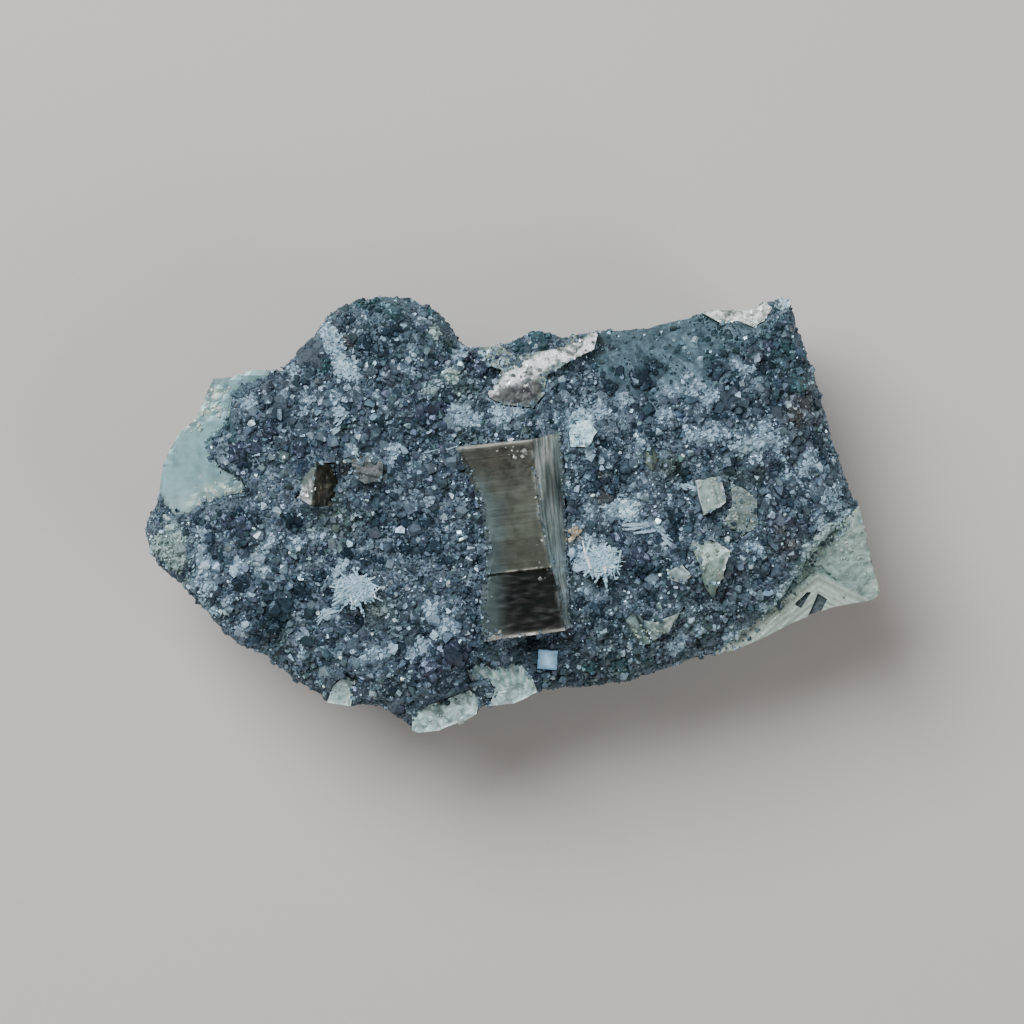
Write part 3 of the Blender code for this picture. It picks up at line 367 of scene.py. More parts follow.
def copy_of(node, name):
    """A copy of a solid with its loose triangles merged, and flat shading."""
    made = bpy.data.objects.new(name, SOLIDS[node].data.copy())
    bpy.context.scene.collection.objects.link(made)
    made.data.materials.clear()
    edit(made)
    bpy.ops.mesh.remove_doubles(threshold=0.001 * MM)
    close_edit()
    if made.data.has_custom_normals:
        bpy.ops.mesh.customdata_custom_splitnormals_clear()
    made.data.shade_flat()
    return made


def subdivide(obj, cuts):
    edit(obj)
    bpy.ops.mesh.subdivide(number_cuts=cuts)
    close_edit()


def cut_across(point, normal):
    """Cuts an edge line right through the piece that is being edited, along a plane."""
    bpy.ops.mesh.select_all(action="SELECT")
    bpy.ops.mesh.bisect(plane_co=Vector(point) * MM, plane_no=normal)


def grid_cut(obj, step, rng, level_step=None):
    """Cuts a piece along x and y planes about this far apart, and along level ones if told how far apart."""
    rows = corners_of(obj)
    edit(obj)
    for axis, apart in enumerate((step, step, level_step)):
        normal = np.eye(3)[axis]
        place = rows[:, axis].min() + (apart or math.inf)
        while place < rows[:, axis].max():
            cut_across(normal * place, normal)
            place += apart * rng.uniform(0.7, 1.3)
    close_edit()


def rows_of(obj, field):
    """The vectors of this name that a mesh holds for its corners, one row each."""
    rows = np.empty(len(obj.data.vertices) * 3)
    obj.data.vertices.foreach_get(field, rows)
    return rows.reshape(-1, 3)


def corners_of(obj):
    """Corners of a mesh in millimetres."""
    return rows_of(obj, "co") / MM


def corner_normals(obj):
    return rows_of(obj, "normal")


def move_corners(obj, rows):
    obj.data.vertices.foreach_set("co", (rows * MM).ravel())
    obj.data.update()


def triangle_index(obj):
    """The numbers of the three corners of each of a mesh's triangles."""
    obj.data.calc_loop_triangles()
    index = np.empty(len(obj.data.loop_triangles) * 3, int)
    obj.data.loop_triangles.foreach_get("vertices", index)
    return index.reshape(-1, 3)


def triangles_of(obj):
    """(triangles as three corners each in millimetres, their normals, their areas)."""
    corners = corners_of(obj)[triangle_index(obj)]
    cross = np.cross(corners[:, 1] - corners[:, 0], corners[:, 2] - corners[:, 0])
    size = np.maximum(np.linalg.norm(cross, axis=1), 1e-9)
    return corners, cross / size[:, None], size / 2


def finish_piece(obj, finish, slot, *nodes):
    """Gives a piece its material and its place in the frame."""
    obj.data.materials.clear()
    obj.data.materials.append(finish)
    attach(obj, "root")
    if nodes:
        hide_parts(*nodes)


# Values and colours over a surface


def noise_at(points, span, seed=0):
    """Smooth noise from -1 to 1 at each point, with forms about this many millimetres wide."""
    shift = Vector((17.3, 9.1, 5.7)) * seed
    return np.array([noise.noise(Vector(p) / span + shift) for p in points])


def cells_at(points, span, seed=0):
    """Distance to the nearest of scattered points, which draws round lumps this far apart."""
    shift = Vector((11.9, 3.7, 8.3)) * seed
    return np.array([noise.voronoi(Vector(p) / span + shift)[0][0] for p in points])


def zone_weight(points, zones):
    """Sum of soft round zones at each point, seen from above."""
    weight = np.zeros(len(points))
    for x, y, radius, strength in zones:
        away = np.hypot(points[:, 0] - x, points[:, 1] - y) / radius
        weight += strength * np.exp(-(away**2))
    return weight


def ramp(values, low, high):
    """0 below low, 1 above high, smooth between."""
    share = np.clip((values - low) / (high - low), 0, 1)
    return share * share * (3 - 2 * share)


def patchy(points, span, seed, low, high):
    """0 to 1 in soft patches about this many millimetres wide: 0 where the noise is under low."""
    return ramp(noise_at(points, span, seed), low, high)


def around(values, middle, width):
    """1 at the middle, falling off softly over this width on both sides."""
    return np.exp(-(((values - middle) / width) ** 2))


def blended(first, second, share):
    """Rows of colour, from first to second by this share."""
    share = np.asarray(share)[:, None]
    return np.asarray(first) * (1 - share) + np.asarray(second) * share


def washed(tints, *washes):
    """Rows of colour with others laid over them in turn, each a hex colour and how much it covers."""
    for hex_colour, share in washes:
        tints = blended(tints, linear(hex_colour), share)
    return tints


def paint(obj, tints, share=1.0):
    """Stores a colour for each corner, and a share as its alpha, which the materials read."""
    rows = np.ones((len(tints), 4))
    rows[:, 3] = share
    rows[:, :3] = np.clip(tints, 0, 1)
    layer = obj.data.attributes.new("tint", "FLOAT_COLOR", "POINT")
    layer.data.foreach_set("color", rows.ravel())


# Small crystals, modelled once and copied


def start_shape(add, **sizes):
    bpy.ops.object.select_all(action="DESELECT")
    add(**sizes)
    bpy.ops.object.mode_set(mode="EDIT")
    bpy.ops.mesh.select_all(action="SELECT")


def cut_off(direction, distance):
    """Cuts off what lies past a plane and closes the cut with a face."""
    way = Vector(direction).normalized()
    bpy.ops.mesh.select_all(action="SELECT")
    bpy.ops.mesh.bisect(plane_co=way * distance, plane_no=way, use_fill=True, clear_outer=True)


def taken_shape():
    """(corners, triangles) of the object being edited, which is then removed."""
    close_edit()
    obj = bpy.context.active_object
    shape = (rows_of(obj, "co"), triangle_index(obj))
    bpy.data.objects.remove(obj)
    return shape


def block_shapes():
    """Blocks whose corners are cut by other growth faces, one way each."""
    cuts = (
        (((1, 1, 1), 1.2), ((-1, 0.7, 0.8), 1.15), ((0.3, -1, 1), 1.12), ((-1, -1, -0.4), 1.3)),
        (((1, 0.2, 1), 1.05), ((-0.6, 1, 1), 1.2), ((-1, -1, 0.9), 1.25), ((1, -1, 0.2), 1.2)),
        (((0.2, 1, 1), 1.0), ((1, -0.8, 0.9), 1.2), ((-1, -0.2, 1), 1.1)),
        (((1, 1, 0.3), 1.1), ((-1, 1, 0.8), 1.25), ((0, -1, 1), 1.0), ((-1, -0.4, 1), 1.2)),
    )
    shapes = []
    for planes in cuts:
        start_shape(bpy.ops.mesh.primitive_cube_add, size=2)
        for direction, distance in planes:
            cut_off(direction, distance)
        shapes.append(taken_shape())
    return shapes


def four_sided_shape():
    """A four-sided crystal with its corners cut off, as sphalerite grows."""
    start_shape(bpy.ops.mesh.primitive_cube_add, size=3)
    for way in ((1, 1, 1), (1, -1, -1), (-1, 1, -1), (-1, -1, 1)):
        cut_off(way, 0.55)
    for way in ((-1, -1, -1), (-1, 1, 1), (1, -1, 1), (1, 1, -1)):
        cut_off(way, 1.05)
    return taken_shape()


def splinter_shape():
    """A double-ended splinter of eight faces, for the finest crystals."""
    start_shape(bpy.ops.mesh.primitive_cube_add, size=3)
    for x in (1, -1):
        for y in (1, -1):
            for z in (1, -1):
                cut_off((x, y, z), 0.577)
    return taken_shape()


def plate_shape():
    """A thin six-sided plate with one slanted end."""
    start_shape(bpy.ops.mesh.primitive_cylinder_add, vertices=6, radius=1, depth=0.5)
    cut_off((0.3, 1, 0.35), 0.75)
    return taken_shape()


def needle_shape():
    """A four-sided needle, one unit long from its root, with a chisel end."""
    start_shape(bpy.ops.mesh.primitive_cylinder_add, vertices=4, radius=1, depth=1, location=(0, 0, 0.5))
    cut_off((0.5, 0.1, 1), 0.86)
    return taken_shape()


def crumb_shapes():
    """Irregular crumbs."""
    shapes = []
    for seed in (3, 8, 14):
        start_shape(bpy.ops.mesh.primitive_ico_sphere_add, subdivisions=1, radius=1)
        bpy.ops.transform.vertex_random(offset=0.32, uniform=1.0, normal=0.0, seed=seed)
        shapes.append(taken_shape())
    return shapes


def lump_shapes():
    """Rounded blocks of some forty faces, for the larger lumps."""
    shapes = []
    for seed in (2, 5, 9, 12):
        start_shape(bpy.ops.mesh.primitive_cube_add, size=1.7)
        bpy.ops.mesh.bevel(offset=0.42, segments=1)
        bpy.ops.transform.vertex_random(offset=0.16, uniform=1.0, normal=0.0, seed=seed)
        cut_off((0.4, -0.3, 1), 0.74)
        shapes.append(taken_shape())
    return shapes


def scattered(triangles, spacing, rng, keep):
    """(points, normals) strewn over triangles where keep allows, none closer together than the spacing."""
    corners, normals, areas = triangles
    count = int(areas.sum() / spacing**2 * 4)
    chosen = rng.choice(len(areas), count, p=areas / areas.sum())
    a, b = rng.random((2, count, 1))
    over = a + b > 1
    a, b = np.where(over, 1 - a, a), np.where(over, 1 - b, b)
    first, second, third = (corners[chosen, i] for i in range(3))
    points = first + a * (second - first) + b * (third - first)
    kept = keep(points, normals[chosen])
    points, chosen = points[kept], chosen[kept]
    taken = {}
    alone = []
    cells = np.floor(points / spacing).astype(int)
    for i, (point, cell) in enumerate(zip(points, map(tuple, cells))):
        near = (
            taken.get((cell[0] + dx, cell[1] + dy, cell[2] + dz))
            for dx in (0, -1, 1)
            for dy in (0, -1, 1)
            for dz in (0, -1, 1)
        )
        if all(n is None or ((point - points[n]) ** 2).sum() > spacing**2 for n in near):
            taken[cell] = i
            alone.append(i)
    return points[alone], normals[chosen[alone]]


def scattered_on(name, spacing, rng, keep):
    """The same, over the piece of this name."""
    return scattered(triangles_of(bpy.data.objects[name]), spacing, rng, keep)


def facing_up(lowest):
    """A test of points and normals: whether they face upwards and lie higher than this."""
    return lambda points, normals: (normals[:, 2] > 0.3) & (points[:, 2] > lowest)


def gathered(found):
    """The points, normals and tints found in several places, each put end to end."""
    return (np.concatenate(part) for part in zip(*found))


def standing(normals, lean, rng):
    """Axes of crystals that stand on a surface, tipped by about this lean and spun at random."""
    up = normals + rng.normal(size=normals.shape) * lean
    up /= np.linalg.norm(up, axis=1)[:, None]
    side = np.cross(up, rng.normal(size=normals.shape))
    side /= np.linalg.norm(side, axis=1)[:, None]
    return np.stack([side, np.cross(up, side), up], axis=2)


def uneven(count, variety, rng):
    """Sizes about 1, the small ones more than the large ones."""
    return np.exp(rng.normal(0, variety, count))


def joined(name, shapes, centres, axes, sizes, tints, kinds):
    """One mesh of many small crystals, each a copy of the shape that its kind names."""
    corners, faces, colours = [], [], []
    start = 0
    for kind, (shape, triangles) in enumerate(shapes):
        chosen = np.flatnonzero(kinds == kind)
        if not len(chosen):
            continue
        local = shape[None] * sizes[chosen, None]
        placed = np.einsum("nij,nvj->nvi", axes[chosen], local) + centres[chosen, None]
        corners.append(placed.reshape(-1, 3))
        shift = start + np.arange(len(chosen)) * len(shape)
        faces.append((triangles[None] + shift[:, None, None]).reshape(-1, 3))
        colours.append(np.repeat(tints[chosen], len(shape), axis=0))
        start += len(chosen) * len(shape)
    corners, faces = np.concatenate(corners), np.concatenate(faces)
    mesh = bpy.data.meshes.new(name)
    mesh.vertices.add(len(corners))
    mesh.vertices.foreach_set("co", (corners * MM).ravel())
    mesh.loops.add(len(faces) * 3)
    mesh.loops.foreach_set("vertex_index", faces.ravel())
    mesh.polygons.add(len(faces))
    mesh.polygons.foreach_set("loop_start", np.arange(0, len(faces) * 3, 3))
    mesh.update(calc_edges=True)
    mesh.shade_flat()
    made = bpy.data.objects.new(name, mesh)
    bpy.context.scene.collection.objects.link(made)
    paint(made, np.concatenate(colours))
    return made


def strewn(name, shapes, points, normals, sizes, tints, rng):
    """One mesh of small crystals of mixed shapes that stand on a surface and lean every way."""
    kinds = rng.integers(len(shapes), size=len(points))
    return joined(name, shapes, points, standing(normals, 0.9, rng), sizes, tints, kinds)


# Materials


def add_node(tree, kind, settings=None, inputs=None):
    """A node with these settings; each input is a value or another node's output."""
    node = tree.nodes.new(kind)
    for name, value in (settings or {}).items():
        setattr(node, name, value)
    for name, value in (inputs or {}).items():
        if isinstance(value, bpy.types.NodeSocket):
            tree.links.new(value, node.inputs[name])
        else:
            node.inputs[name].default_value = value
    return node


def new_finish(name):
    """A material with its nodes, its Principled shader and its object coordinates."""
    made = bpy.data.materials.new(name)
    made.use_nodes = True
    tree = made.node_tree
    place = add_node(tree, "ShaderNodeTexCoord").outputs["Object"]
    return made, tree, tree.nodes["Principled BSDF"], place


def patches(tree, place, millimetres, low, high, start=0.3, end=0.7):
    """Values from low to high in soft patches about this wide, where the noise runs from start to end."""
    inputs = {"Vector": place, "Scale": 1 / (millimetres * MM), "Detail": 3.0}
    value = add_node(tree, "ShaderNodeTexNoise", inputs=inputs).outputs["Fac"]
    inputs = {"Value": value, "From Min": start, "From Max": end, "To Min": low, "To Max": high}
    return add_node(tree, "ShaderNodeMapRange", inputs=inputs).outputs["Result"]


def shaded(tree, tint, value, share=1.0):
    """A colour multiplied by a value, as far as the share says."""
    grey = add_node(tree, "ShaderNodeCombineColor", inputs={0: value, 1: value, 2: value}).outputs[0]
    settings = {"data_type": "RGBA", "blend_type": "MULTIPLY"}
    return add_node(tree, "ShaderNodeMix", settings, {0: share, 6: tint, 7: grey}).outputs[2]


def grain(tree, shader, place, millimetres, detail, strength, height):
    """Fine relief with forms about this wide, and this high in millimetres."""
    inputs = {"Vector": place, "Scale": 1 / (millimetres * MM), "Detail": detail}
    value = add_node(tree, "ShaderNodeTexNoise", inputs=inputs).outputs["Fac"]
    inputs = {"Height": value, "Strength": strength, "Distance": height * MM}
    tree.links.new(add_node(tree, "ShaderNodeBump", inputs=inputs).outputs[0], shader.inputs["Normal"])


def mineral(name, mottle, rough, metallic=0.0, relief=None):
    """A finish in the piece's own painted colour: (material, nodes, shader, coordinates).

    mottle and rough hold what patches() asks for: shares of the colour, and roughness, which may be
    a single value. relief holds what grain() asks for.
    """
    made, tree, shader, place = new_finish(name)
    tint = add_node(tree, "ShaderNodeAttribute", {"attribute_name": "tint"}).outputs["Color"]
    tree.links.new(shaded(tree, tint, patches(tree, place, *mottle)), shader.inputs["Base Color"])
    if isinstance(rough, tuple):
        tree.links.new(patches(tree, place, *rough), shader.inputs["Roughness"])
    else:
        shader.inputs["Roughness"].default_value = rough
    shader.inputs["Metallic"].default_value = metallic
    if relief:
        grain(tree, shader, place, *relief)
    return made, tree, shader, place


def sulphide_finish(name, width=0.15, height=0.03):
    """Sphalerite and galena, grown as a druse: dark and half metallic, each face smooth enough to flash."""
    # Growth steps of some hundredths of a millimetre, drawn this much wider so that they show.
    return mineral(name, (0.35, 0.72, 1.25), (0.9, 0.24, 0.5), 0.55, (width, 2.0, 0.35, height))[0]


def rock_finish():
    """Massive sulphide, broken: dull and grainy, with the glint of cleavage faces."""
    rough = (0.6, 0.38, 0.8, 0.35, 0.65)
    return mineral("broken sulphide rock", (0.5, 0.6, 1.3), rough, 0.3, (0.25, 5.0, 0.8, 0.12))[0]


def dust_finish():
    """Powdery carbonate and quartz that settled between the crystals: pale, matt, never metallic."""
    return mineral("pale mineral dusting", (0.3, 0.8, 1.12), 0.6)[0]


def pyrite_finish(name, metallic, roughness, width):
    """Pyrite, grown: a metal, pale brassy to grey-green, mottled by tarnish and finely uneven."""
    rough = (width, roughness * 0.8, roughness * 1.3)
    relief = (0.2, 4.0, 0.3, 0.03)
    return mineral(name.replace("_", " "), (width, 0.86, 1.1), rough, metallic, relief)[0]


def white_finish():
    """Carbonate needles: translucent white, with light scattered a little way into them."""
    made, _, shader, _ = mineral("white carbonate needles", (0.5, 0.86, 1.08), 0.35)
    shader.inputs["Subsurface Weight"].default_value = 0.25
    shader.inputs["Subsurface Radius"].default_value = (0.8, 0.9, 1.0)
    shader.inputs["Subsurface Scale"].default_value = 0.4 * MM
    shader.inputs["IOR"].default_value = 1.6
    return made


# The crust


def tree_of(triangles):
    """A search tree over triangles that are given as three corners each."""
    faces = np.arange(len(triangles) * 3).reshape(-1, 3)
    return BVHTree.FromPolygons(triangles.reshape(-1, 3).tolist(), faces.tolist())


def distance_to(tree, points):
    """Distance from each point to the nearest triangle of a search tree."""
    return np.array([tree.find_nearest(Vector(p))[3] for p in points])


def rim_tree():
    """A search tree over the upright faces of the slab's edge."""
    corners, normals, _ = triangles_of(SOLIDS["crust_slab"])
    upright = (np.abs(normals[:, 2]) < 0.45) & (corners[:, :, 2].max(axis=1) > 0.6 * RIM_HEIGHT)
    upright &= distance_to(CRYSTALS, corners.mean(axis=1)) > CLOSE_TO_CRYSTAL
    return tree_of(corners[upright])


CRYSTALS = tree_of(
    np.concatenate([triangles_of(solid)[0] for name, solid in SOLIDS.items() if name != "crust_slab"])
)
RIM = rim_tree()


def exposed(points):
    """Whether points of the rock are out of the sockets and clear of the crystals' faces."""
    return distance_to(CRYSTALS, points) > TOUCHING


def rim_nearness(points):
    """1 at the rim of the upper surface, falling to 0 two millimetres in from it."""
    return 1 - ramp(distance_to(RIM, points), 0.2, 2.0)


def closed_sockets(rows):
    """The slab's corners with its sockets' walls drawn in until they nearly meet the crystals."""
    rows = rows.copy()
    for i, row in enumerate(rows):
        place, _, _, away = CRYSTALS.find_nearest(Vector(row))
        if away < CLOSE_TO_CRYSTAL:
            rows[i] = Vector(row).lerp(place, 0.9)
    return rows


def dusting(points):
    """How thickly the pale dusting lies at each point, from 0 to 1."""
    patchiness = 0.5 * noise_at(points, 2.0, 1) + 0.5 * noise_at(points, 0.8, 2) - 0.2
    weight = zone_weight(points, DUSTED) - 0.9 * zone_weight(points, BARE)
    on_top = ramp(points[:, 2], RIM_HEIGHT - 5, RIM_HEIGHT + 1)
    return ramp(0.8 * patchiness + 1.15 * weight - 0.3 * (1 - on_top), 0.08, 0.7)


def dust_tints(points, crust, rng):
    """Colour of the dusting at these points, with its greenish, white and rusty places."""
    tints = blended(crust.steel, crust.dust, rng.uniform(0.25, 1.15, len(points)).clip(0, 1))
    tints = blended(tints, crust.slate, 0.9 * (rng.random(len(points)) < 0.14))
    tints = blended(tints, crust.greenish, np.clip(zone_weight(points, GREENISH), 0, 0.9))
    tints = blended(tints, crust.white, np.clip(zone_weight(points, WHITE), 0, 1))
    return blended(tints, crust.rusty, np.clip(zone_weight(points, RUSTY), 0, 1))


def crust_tints(points, crust, tones):
    """Colour of the crust's own crystals at these points: tones run from 0, dark, to 1, light."""
    tones = np.clip(tones - 0.3 * np.clip(zone_weight(points, AROUND_LUMPS), 0, 1), 0, 1)
    tints = blended(crust.dark, crust.slate, ramp(tones, 0.0, 0.5))
    tints = blended(tints, crust.steel, 0.85 * ramp(tones, 0.5, 1.0))
    hue = noise_at(points, 1.6, 15)
    tints = tints * (1 + hue[:, None] * np.array([0.08, 0.01, -0.03]))
    for zones, name in ((TEAL, "teal"), (VIOLET, "violet"), (BROWN, "brown"), (OLIVE, "olive")):
        share = np.clip(zone_weight(points, zones), 0, 0.6)
        tints = blended(tints, np.array(getattr(crust, name)) * (0.45 + tones)[:, None], share)
    return tints


def under(x, y):
    """(place, normal) of the rock's upper surface below this point, or None beside it."""
    rock = bpy.data.objects["crust_rock"]
    hit, place, normal, _ = rock.ray_cast(Vector((x, y, OVERHEAD)) * MM, Vector((0, 0, -1)))
    return (np.array(place / MM), np.array(normal)) if hit and place.z > LOWEST_TOP * MM else None


def on_rock(x, y):
    """(place, normal) of the rock's upper surface at this point, or at the point nearest to it."""
    found = under(x, y)
    if found is None:
        rock = bpy.data.objects["crust_rock"]
        _, place, normal, _ = rock.closest_point_on_mesh(Vector((x, y, RIM_HEIGHT + 2)) * MM)
        found = (np.array(place / MM), np.array(normal))
    return found


class SPECIMEN_OT_crust_rock(Operator):
    """Models the rock that the crust's crystals stand on"""

    bl_idname = "specimen.crust_rock"
    bl_label = "Crust Rock"

    def execute(self, context):
        crust = context.scene.specimen_crust
        rng = np.random.default_rng(10)
        rock = copy_of("crust_slab", "crust_rock")
        move_corners(rock, closed_sockets(corners_of(rock)))
        subdivide(rock, 3)
        rows = corners_of(rock)
        outside = ramp(distance_to(CRYSTALS, rows), 0.35, 1.1)
        resting = ramp(rows[:, 2], RESTING, 3 * RESTING)
        smooth = np.clip(zone_weight(rows, SMOOTH), 0, 1) * (rows[:, 2] > RIM_HEIGHT - 1)
        dust = dusting(rows) * (1 - 0.8 * smooth)
        depth = crust.sunk / MM * (0.5 + 0.9 * cells_at(rows, 1.5, 1)) + 0.14 * noise_at(rows, 0.6, 3)
        depth = depth * (1 - 0.75 * smooth) * (1 - 0.5 * dust)
        rows -= corner_normals(rock) * (np.clip(depth, 0.03, 2) * outside * resting)[:, None]
        move_corners(rock, rows)
        tones = np.clip(0.4 + 0.45 * noise_at(rows, 1.1, 5) + 0.25 * noise_at(rows, 4.0, 6), 0, 1)
        broken = 1 - ramp(rows[:, 2], RIM_HEIGHT - 7, RIM_HEIGHT - 2)
        tints = crust_tints(rows, crust, tones)
        tints = blended(tints, np.array(crust.rock) * (0.5 + tones)[:, None], 0.8 * broken)
        dust *= patchy(rows, 0.55, 8, -0.4, 0.1)
        paint(rock, blended(tints, dust_tints(rows, crust, rng) * 0.95, 0.9 * dust))
        finish_piece(rock, rock_finish(), "crust", "crust_slab")
        return {"FINISHED"}


class SPECIMEN_OT_crust_crystals(Operator):
    """Grows the dark crystals of the crust on its rock: lumps, usual ones and fine ones"""

    bl_idname = "specimen.crust_crystals"
    bl_label = "Crust Crystals"

    def execute(self, context):
        crust = context.scene.specimen_crust
        surface = triangles_of(bpy.data.objects["crust_rock"])
        finish = sulphide_finish("sulphide druse")
        blocks = block_shapes() + [four_sided_shape(), plate_shape()]
        small = [four_sided_shape(), splinter_shape(), block_shapes()[1]]
        finest = [splinter_shape(), needle_shape()]
        width = crust.crystal_width / MM
        spacing = crust.crystal_spacing / MM

        def above(points, normals):
            return (points[:, 2] > RIM_HEIGHT - 4) & (normals[:, 2] > 0.1)

        def beside(points, normals):
            return ~above(points, normals) & (points[:, 2] > 3 * RESTING)

        # Seed, piece, shapes, width, distance apart, where they grow and how far they stand out.
        for seed, name, shapes, wide, apart, where, raised in (
            (11, "crust_crystals", blocks, width, spacing, above, 0.05),
            (12, "side_crystals", blocks, 1.1 * width, crust.side_spacing / MM, beside, -0.3),
            (13, "middle_crystals", small, crust.middle_width / MM, 0.56 * spacing, above, 0.25),
            (14, "fine_crystals", finest, crust.fine_width / MM, 0.4 * spacing, above, 0.6),
        ):
            rng = np.random.default_rng(seed)
            points, normals = scattered(surface, apart, rng, where)
            kept = rng.random(len(points)) > (0.85 if wide > 0.4 else 0.3) * dusting(points)
            kept &= rng.random(len(points)) > 0.6 * np.clip(zone_weight(points, ON_LUMPS), 0, 1)
            made = self.grown(name, points[kept], normals[kept], wide, raised, shapes, crust, rng)
            finish_piece(made, finish, "crust")
        self.lumps(crust)
        return {"FINISHED"}

    def grown(self, name, points, normals, width, raised, shapes, crust, rng):
        """One joined piece of crystals about this wide."""
        kept = exposed(points)
        smooth = zone_weight(points, SMOOTH) * (points[:, 2] > RIM_HEIGHT - 4)
        kept &= rng.random(len(points)) > 0.85 * np.clip(smooth, 0, 1)
        points, normals = points[kept], normals[kept]
        count = len(points)
        large = width > 0.6
        tones = np.clip(rng.beta(1.3, 1.8, count) + 0.42 * noise_at(points, 2.2, 7), 0, 1)
        tints = crust_tints(points, crust, tones) * np.exp(rng.normal(0, 0.05, (count, 3)))
        stray = 0.3 * (rng.random(count) < (0.03 if large else 0.12))
        share = dusting(points) * rng.uniform(0.6, 1.15, count) + stray
        tints = blended(tints, dust_tints(points, crust, rng), np.clip(share, 0, 0.6 if large else 0.95))
        # Painted glints: a few grains tinted toward white stand for flashes of reflected light.
        bright = rng.random(count) < (0.003 if large else 0.05)
        tints[bright] = blended(tints[bright], crust.white, rng.uniform(0.4, 0.9, bright.sum()))
        rim = rim_nearness(points)
        spread = uneven(count, 0.33, rng).clip(0.4, 1.8) * width / 2 * (1 - 0.4 * rim)
        sizes = spread[:, None] * rng.uniform(0.65, 1.2, (count, 3))
        centres = points + normals * (spread * (raised - 0.35 * rim))[:, None]
        return strewn(name, shapes, centres, normals, sizes, tints, rng)

    def lumps(self, crust):
        """The larger lumps, sunk in the rock to more than half, and the painted glints: white grains for
        flashes of light.
        """
        rng = np.random.default_rng(15)
        shapes = lump_shapes()
        placed = []  # centre, normal, half sizes and colour of each
        for tint, lumps in LUMPS.items():
            for x, y, width in lumps:
                tone = np.array(getattr(crust, tint)) * (rng.uniform(0.6, 0.95) if tint != "rusty" else 1.2)
                for k in range(6):  # the main block, and smaller ones round it
                    away = 0 if k == 0 else 0.36 * width
                    radius = width / 2 * (0.8 if k == 0 else rng.uniform(0.34, 0.54))
                    turn = k * 1.25 + rng.uniform(-0.4, 0.4)
                    found = under(x + away * math.cos(turn), y + away * math.sin(turn))
                    if found is None or self.crowded(found[0], radius):
                        continue
                    place, normal = found
                    half = radius * rng.uniform(0.85, 1.15, 3) * np.array([1.1, 1.0, 0.75])
                    centre = place - normal * (0.7 * half[2] - 0.3 - 0.06 * width)
                    placed.append((centre, normal, half, tone * rng.uniform(0.75, 1.3)))
        # Painted glints: white grains, brighter than white, that stand for flashes of reflected light.
        for x, y, width in PAINTED_GLINTS:
            half = 0.36 * width * rng.uniform(0.8, 1.3, 3) * np.array([1.2, 0.9, 0.6])
            placed.append((on_rock(x, y)[0] + [0, 0, 0.45], (0, 0, 1), half, np.array(crust.white) * 1.2))
        centres, normals, sizes, tints = (np.array(part, float) for part in zip(*placed))
        axes = standing(normals, 0.3, rng)
        kinds = rng.integers(len(shapes), size=len(centres))
        made = joined("crust_lumps", shapes, centres, axes, sizes, tints, kinds)
        finish_piece(made, sulphide_finish("sulphide lumps", 0.45, 0.35), "crust")

    def crowded(self, place, radius):
        """Whether a lump here would run into a crystal or past the rim."""
        to_crystal, to_rim = (distance_to(tree, [place])[0] for tree in (CRYSTALS, RIM))
        return to_crystal < max(CLOSE_TO_CRYSTAL, 0.5 * radius) or to_rim < 0.6 * radius


class SPECIMEN_OT_dusting(Operator):
    """Strews the pale crumbs, blades and needles that lie between the crust's crystals"""

    bl_idname = "specimen.dusting"
    bl_label = "Pale Dusting"

    def execute(self, context):
        crust = context.scene.specimen_crust
        rng = np.random.default_rng(21)

        def above(points, normals):
            return (points[:, 2] > RIM_HEIGHT - 6) & (normals[:, 2] > 0)

        points, normals = scattered_on("crust_rock", crust.dust_spacing / MM, rng, above)
        kept = (rng.random(len(points)) < dusting(points)) & exposed(points)
        points, normals = points[kept], normals[kept]
        count = len(points)
        shapes = crumb_shapes() + [needle_shape()]
        kinds = rng.choice(len(shapes), size=count, p=(0.27, 0.27, 0.26, 0.2))
        spread = uneven(count, 0.35, rng) * 0.22
        sizes = spread[:, None] * rng.uniform(0.7, 1.25, (count, 3)) * np.array([1.2, 1.2, 0.7])
        needles = kinds == len(shapes) - 1
        sizes[needles] = (spread[:, None] * [1, 1, 6])[needles] * 0.4
        centres = points + normals * (0.3 * spread)[:, None]
        axes = standing(normals, 0.6, rng)
        made = joined("pale_dusting", shapes, centres, axes, sizes, dust_tints(points, crust, rng), kinds)
        finish = dust_finish()
        finish_piece(made, finish, "white_crystal")
        self.blades(finish, crust, rng)
        return {"FINISHED"}

    def blades(self, finish, crust, rng):
        """Pale blades lying on the crust, each of three laid side by side."""
        placed = []  # centre, axes and half sizes of each
        for x, y, degrees, long, width in BLADES:
            turn = math.radians(degrees)
            along = np.array([math.cos(turn), math.sin(turn), 0])
            across = np.array([-along[1], along[0], 0])
            place, _ = on_rock(x, y)
            for side in (-0.5, 0.0, 0.5):
                tipped = along + across * rng.uniform(-0.16, 0.16) + [0, 0, rng.uniform(-0.12, 0.12)]
                tipped /= np.linalg.norm(tipped)
                beside = np.cross([0, 0, 1], tipped)
                beside /= np.linalg.norm(beside)
                axes = np.stack([tipped, beside, np.cross(tipped, beside)], axis=1)
                centre = place + across * side * width + along * rng.uniform(-0.2, 0.2) * long + [0, 0, 0.55]
                half = (long / 2 * rng.uniform(0.4, 0.95), width / 4 * rng.uniform(0.6, 1.2), 0.2)
                placed.append((centre, axes, half))
        centres, axes, sizes = (np.array(part) for part in zip(*placed))
        tints = blended(crust.steel, crust.dust, rng.uniform(0.2, 0.8, len(centres)))
        kinds = np.zeros(len(centres), int)
        made = joined("pale_blades", [plate_shape()], centres, axes, sizes, tints, kinds)
        finish_piece(made, finish, "white_crystal")


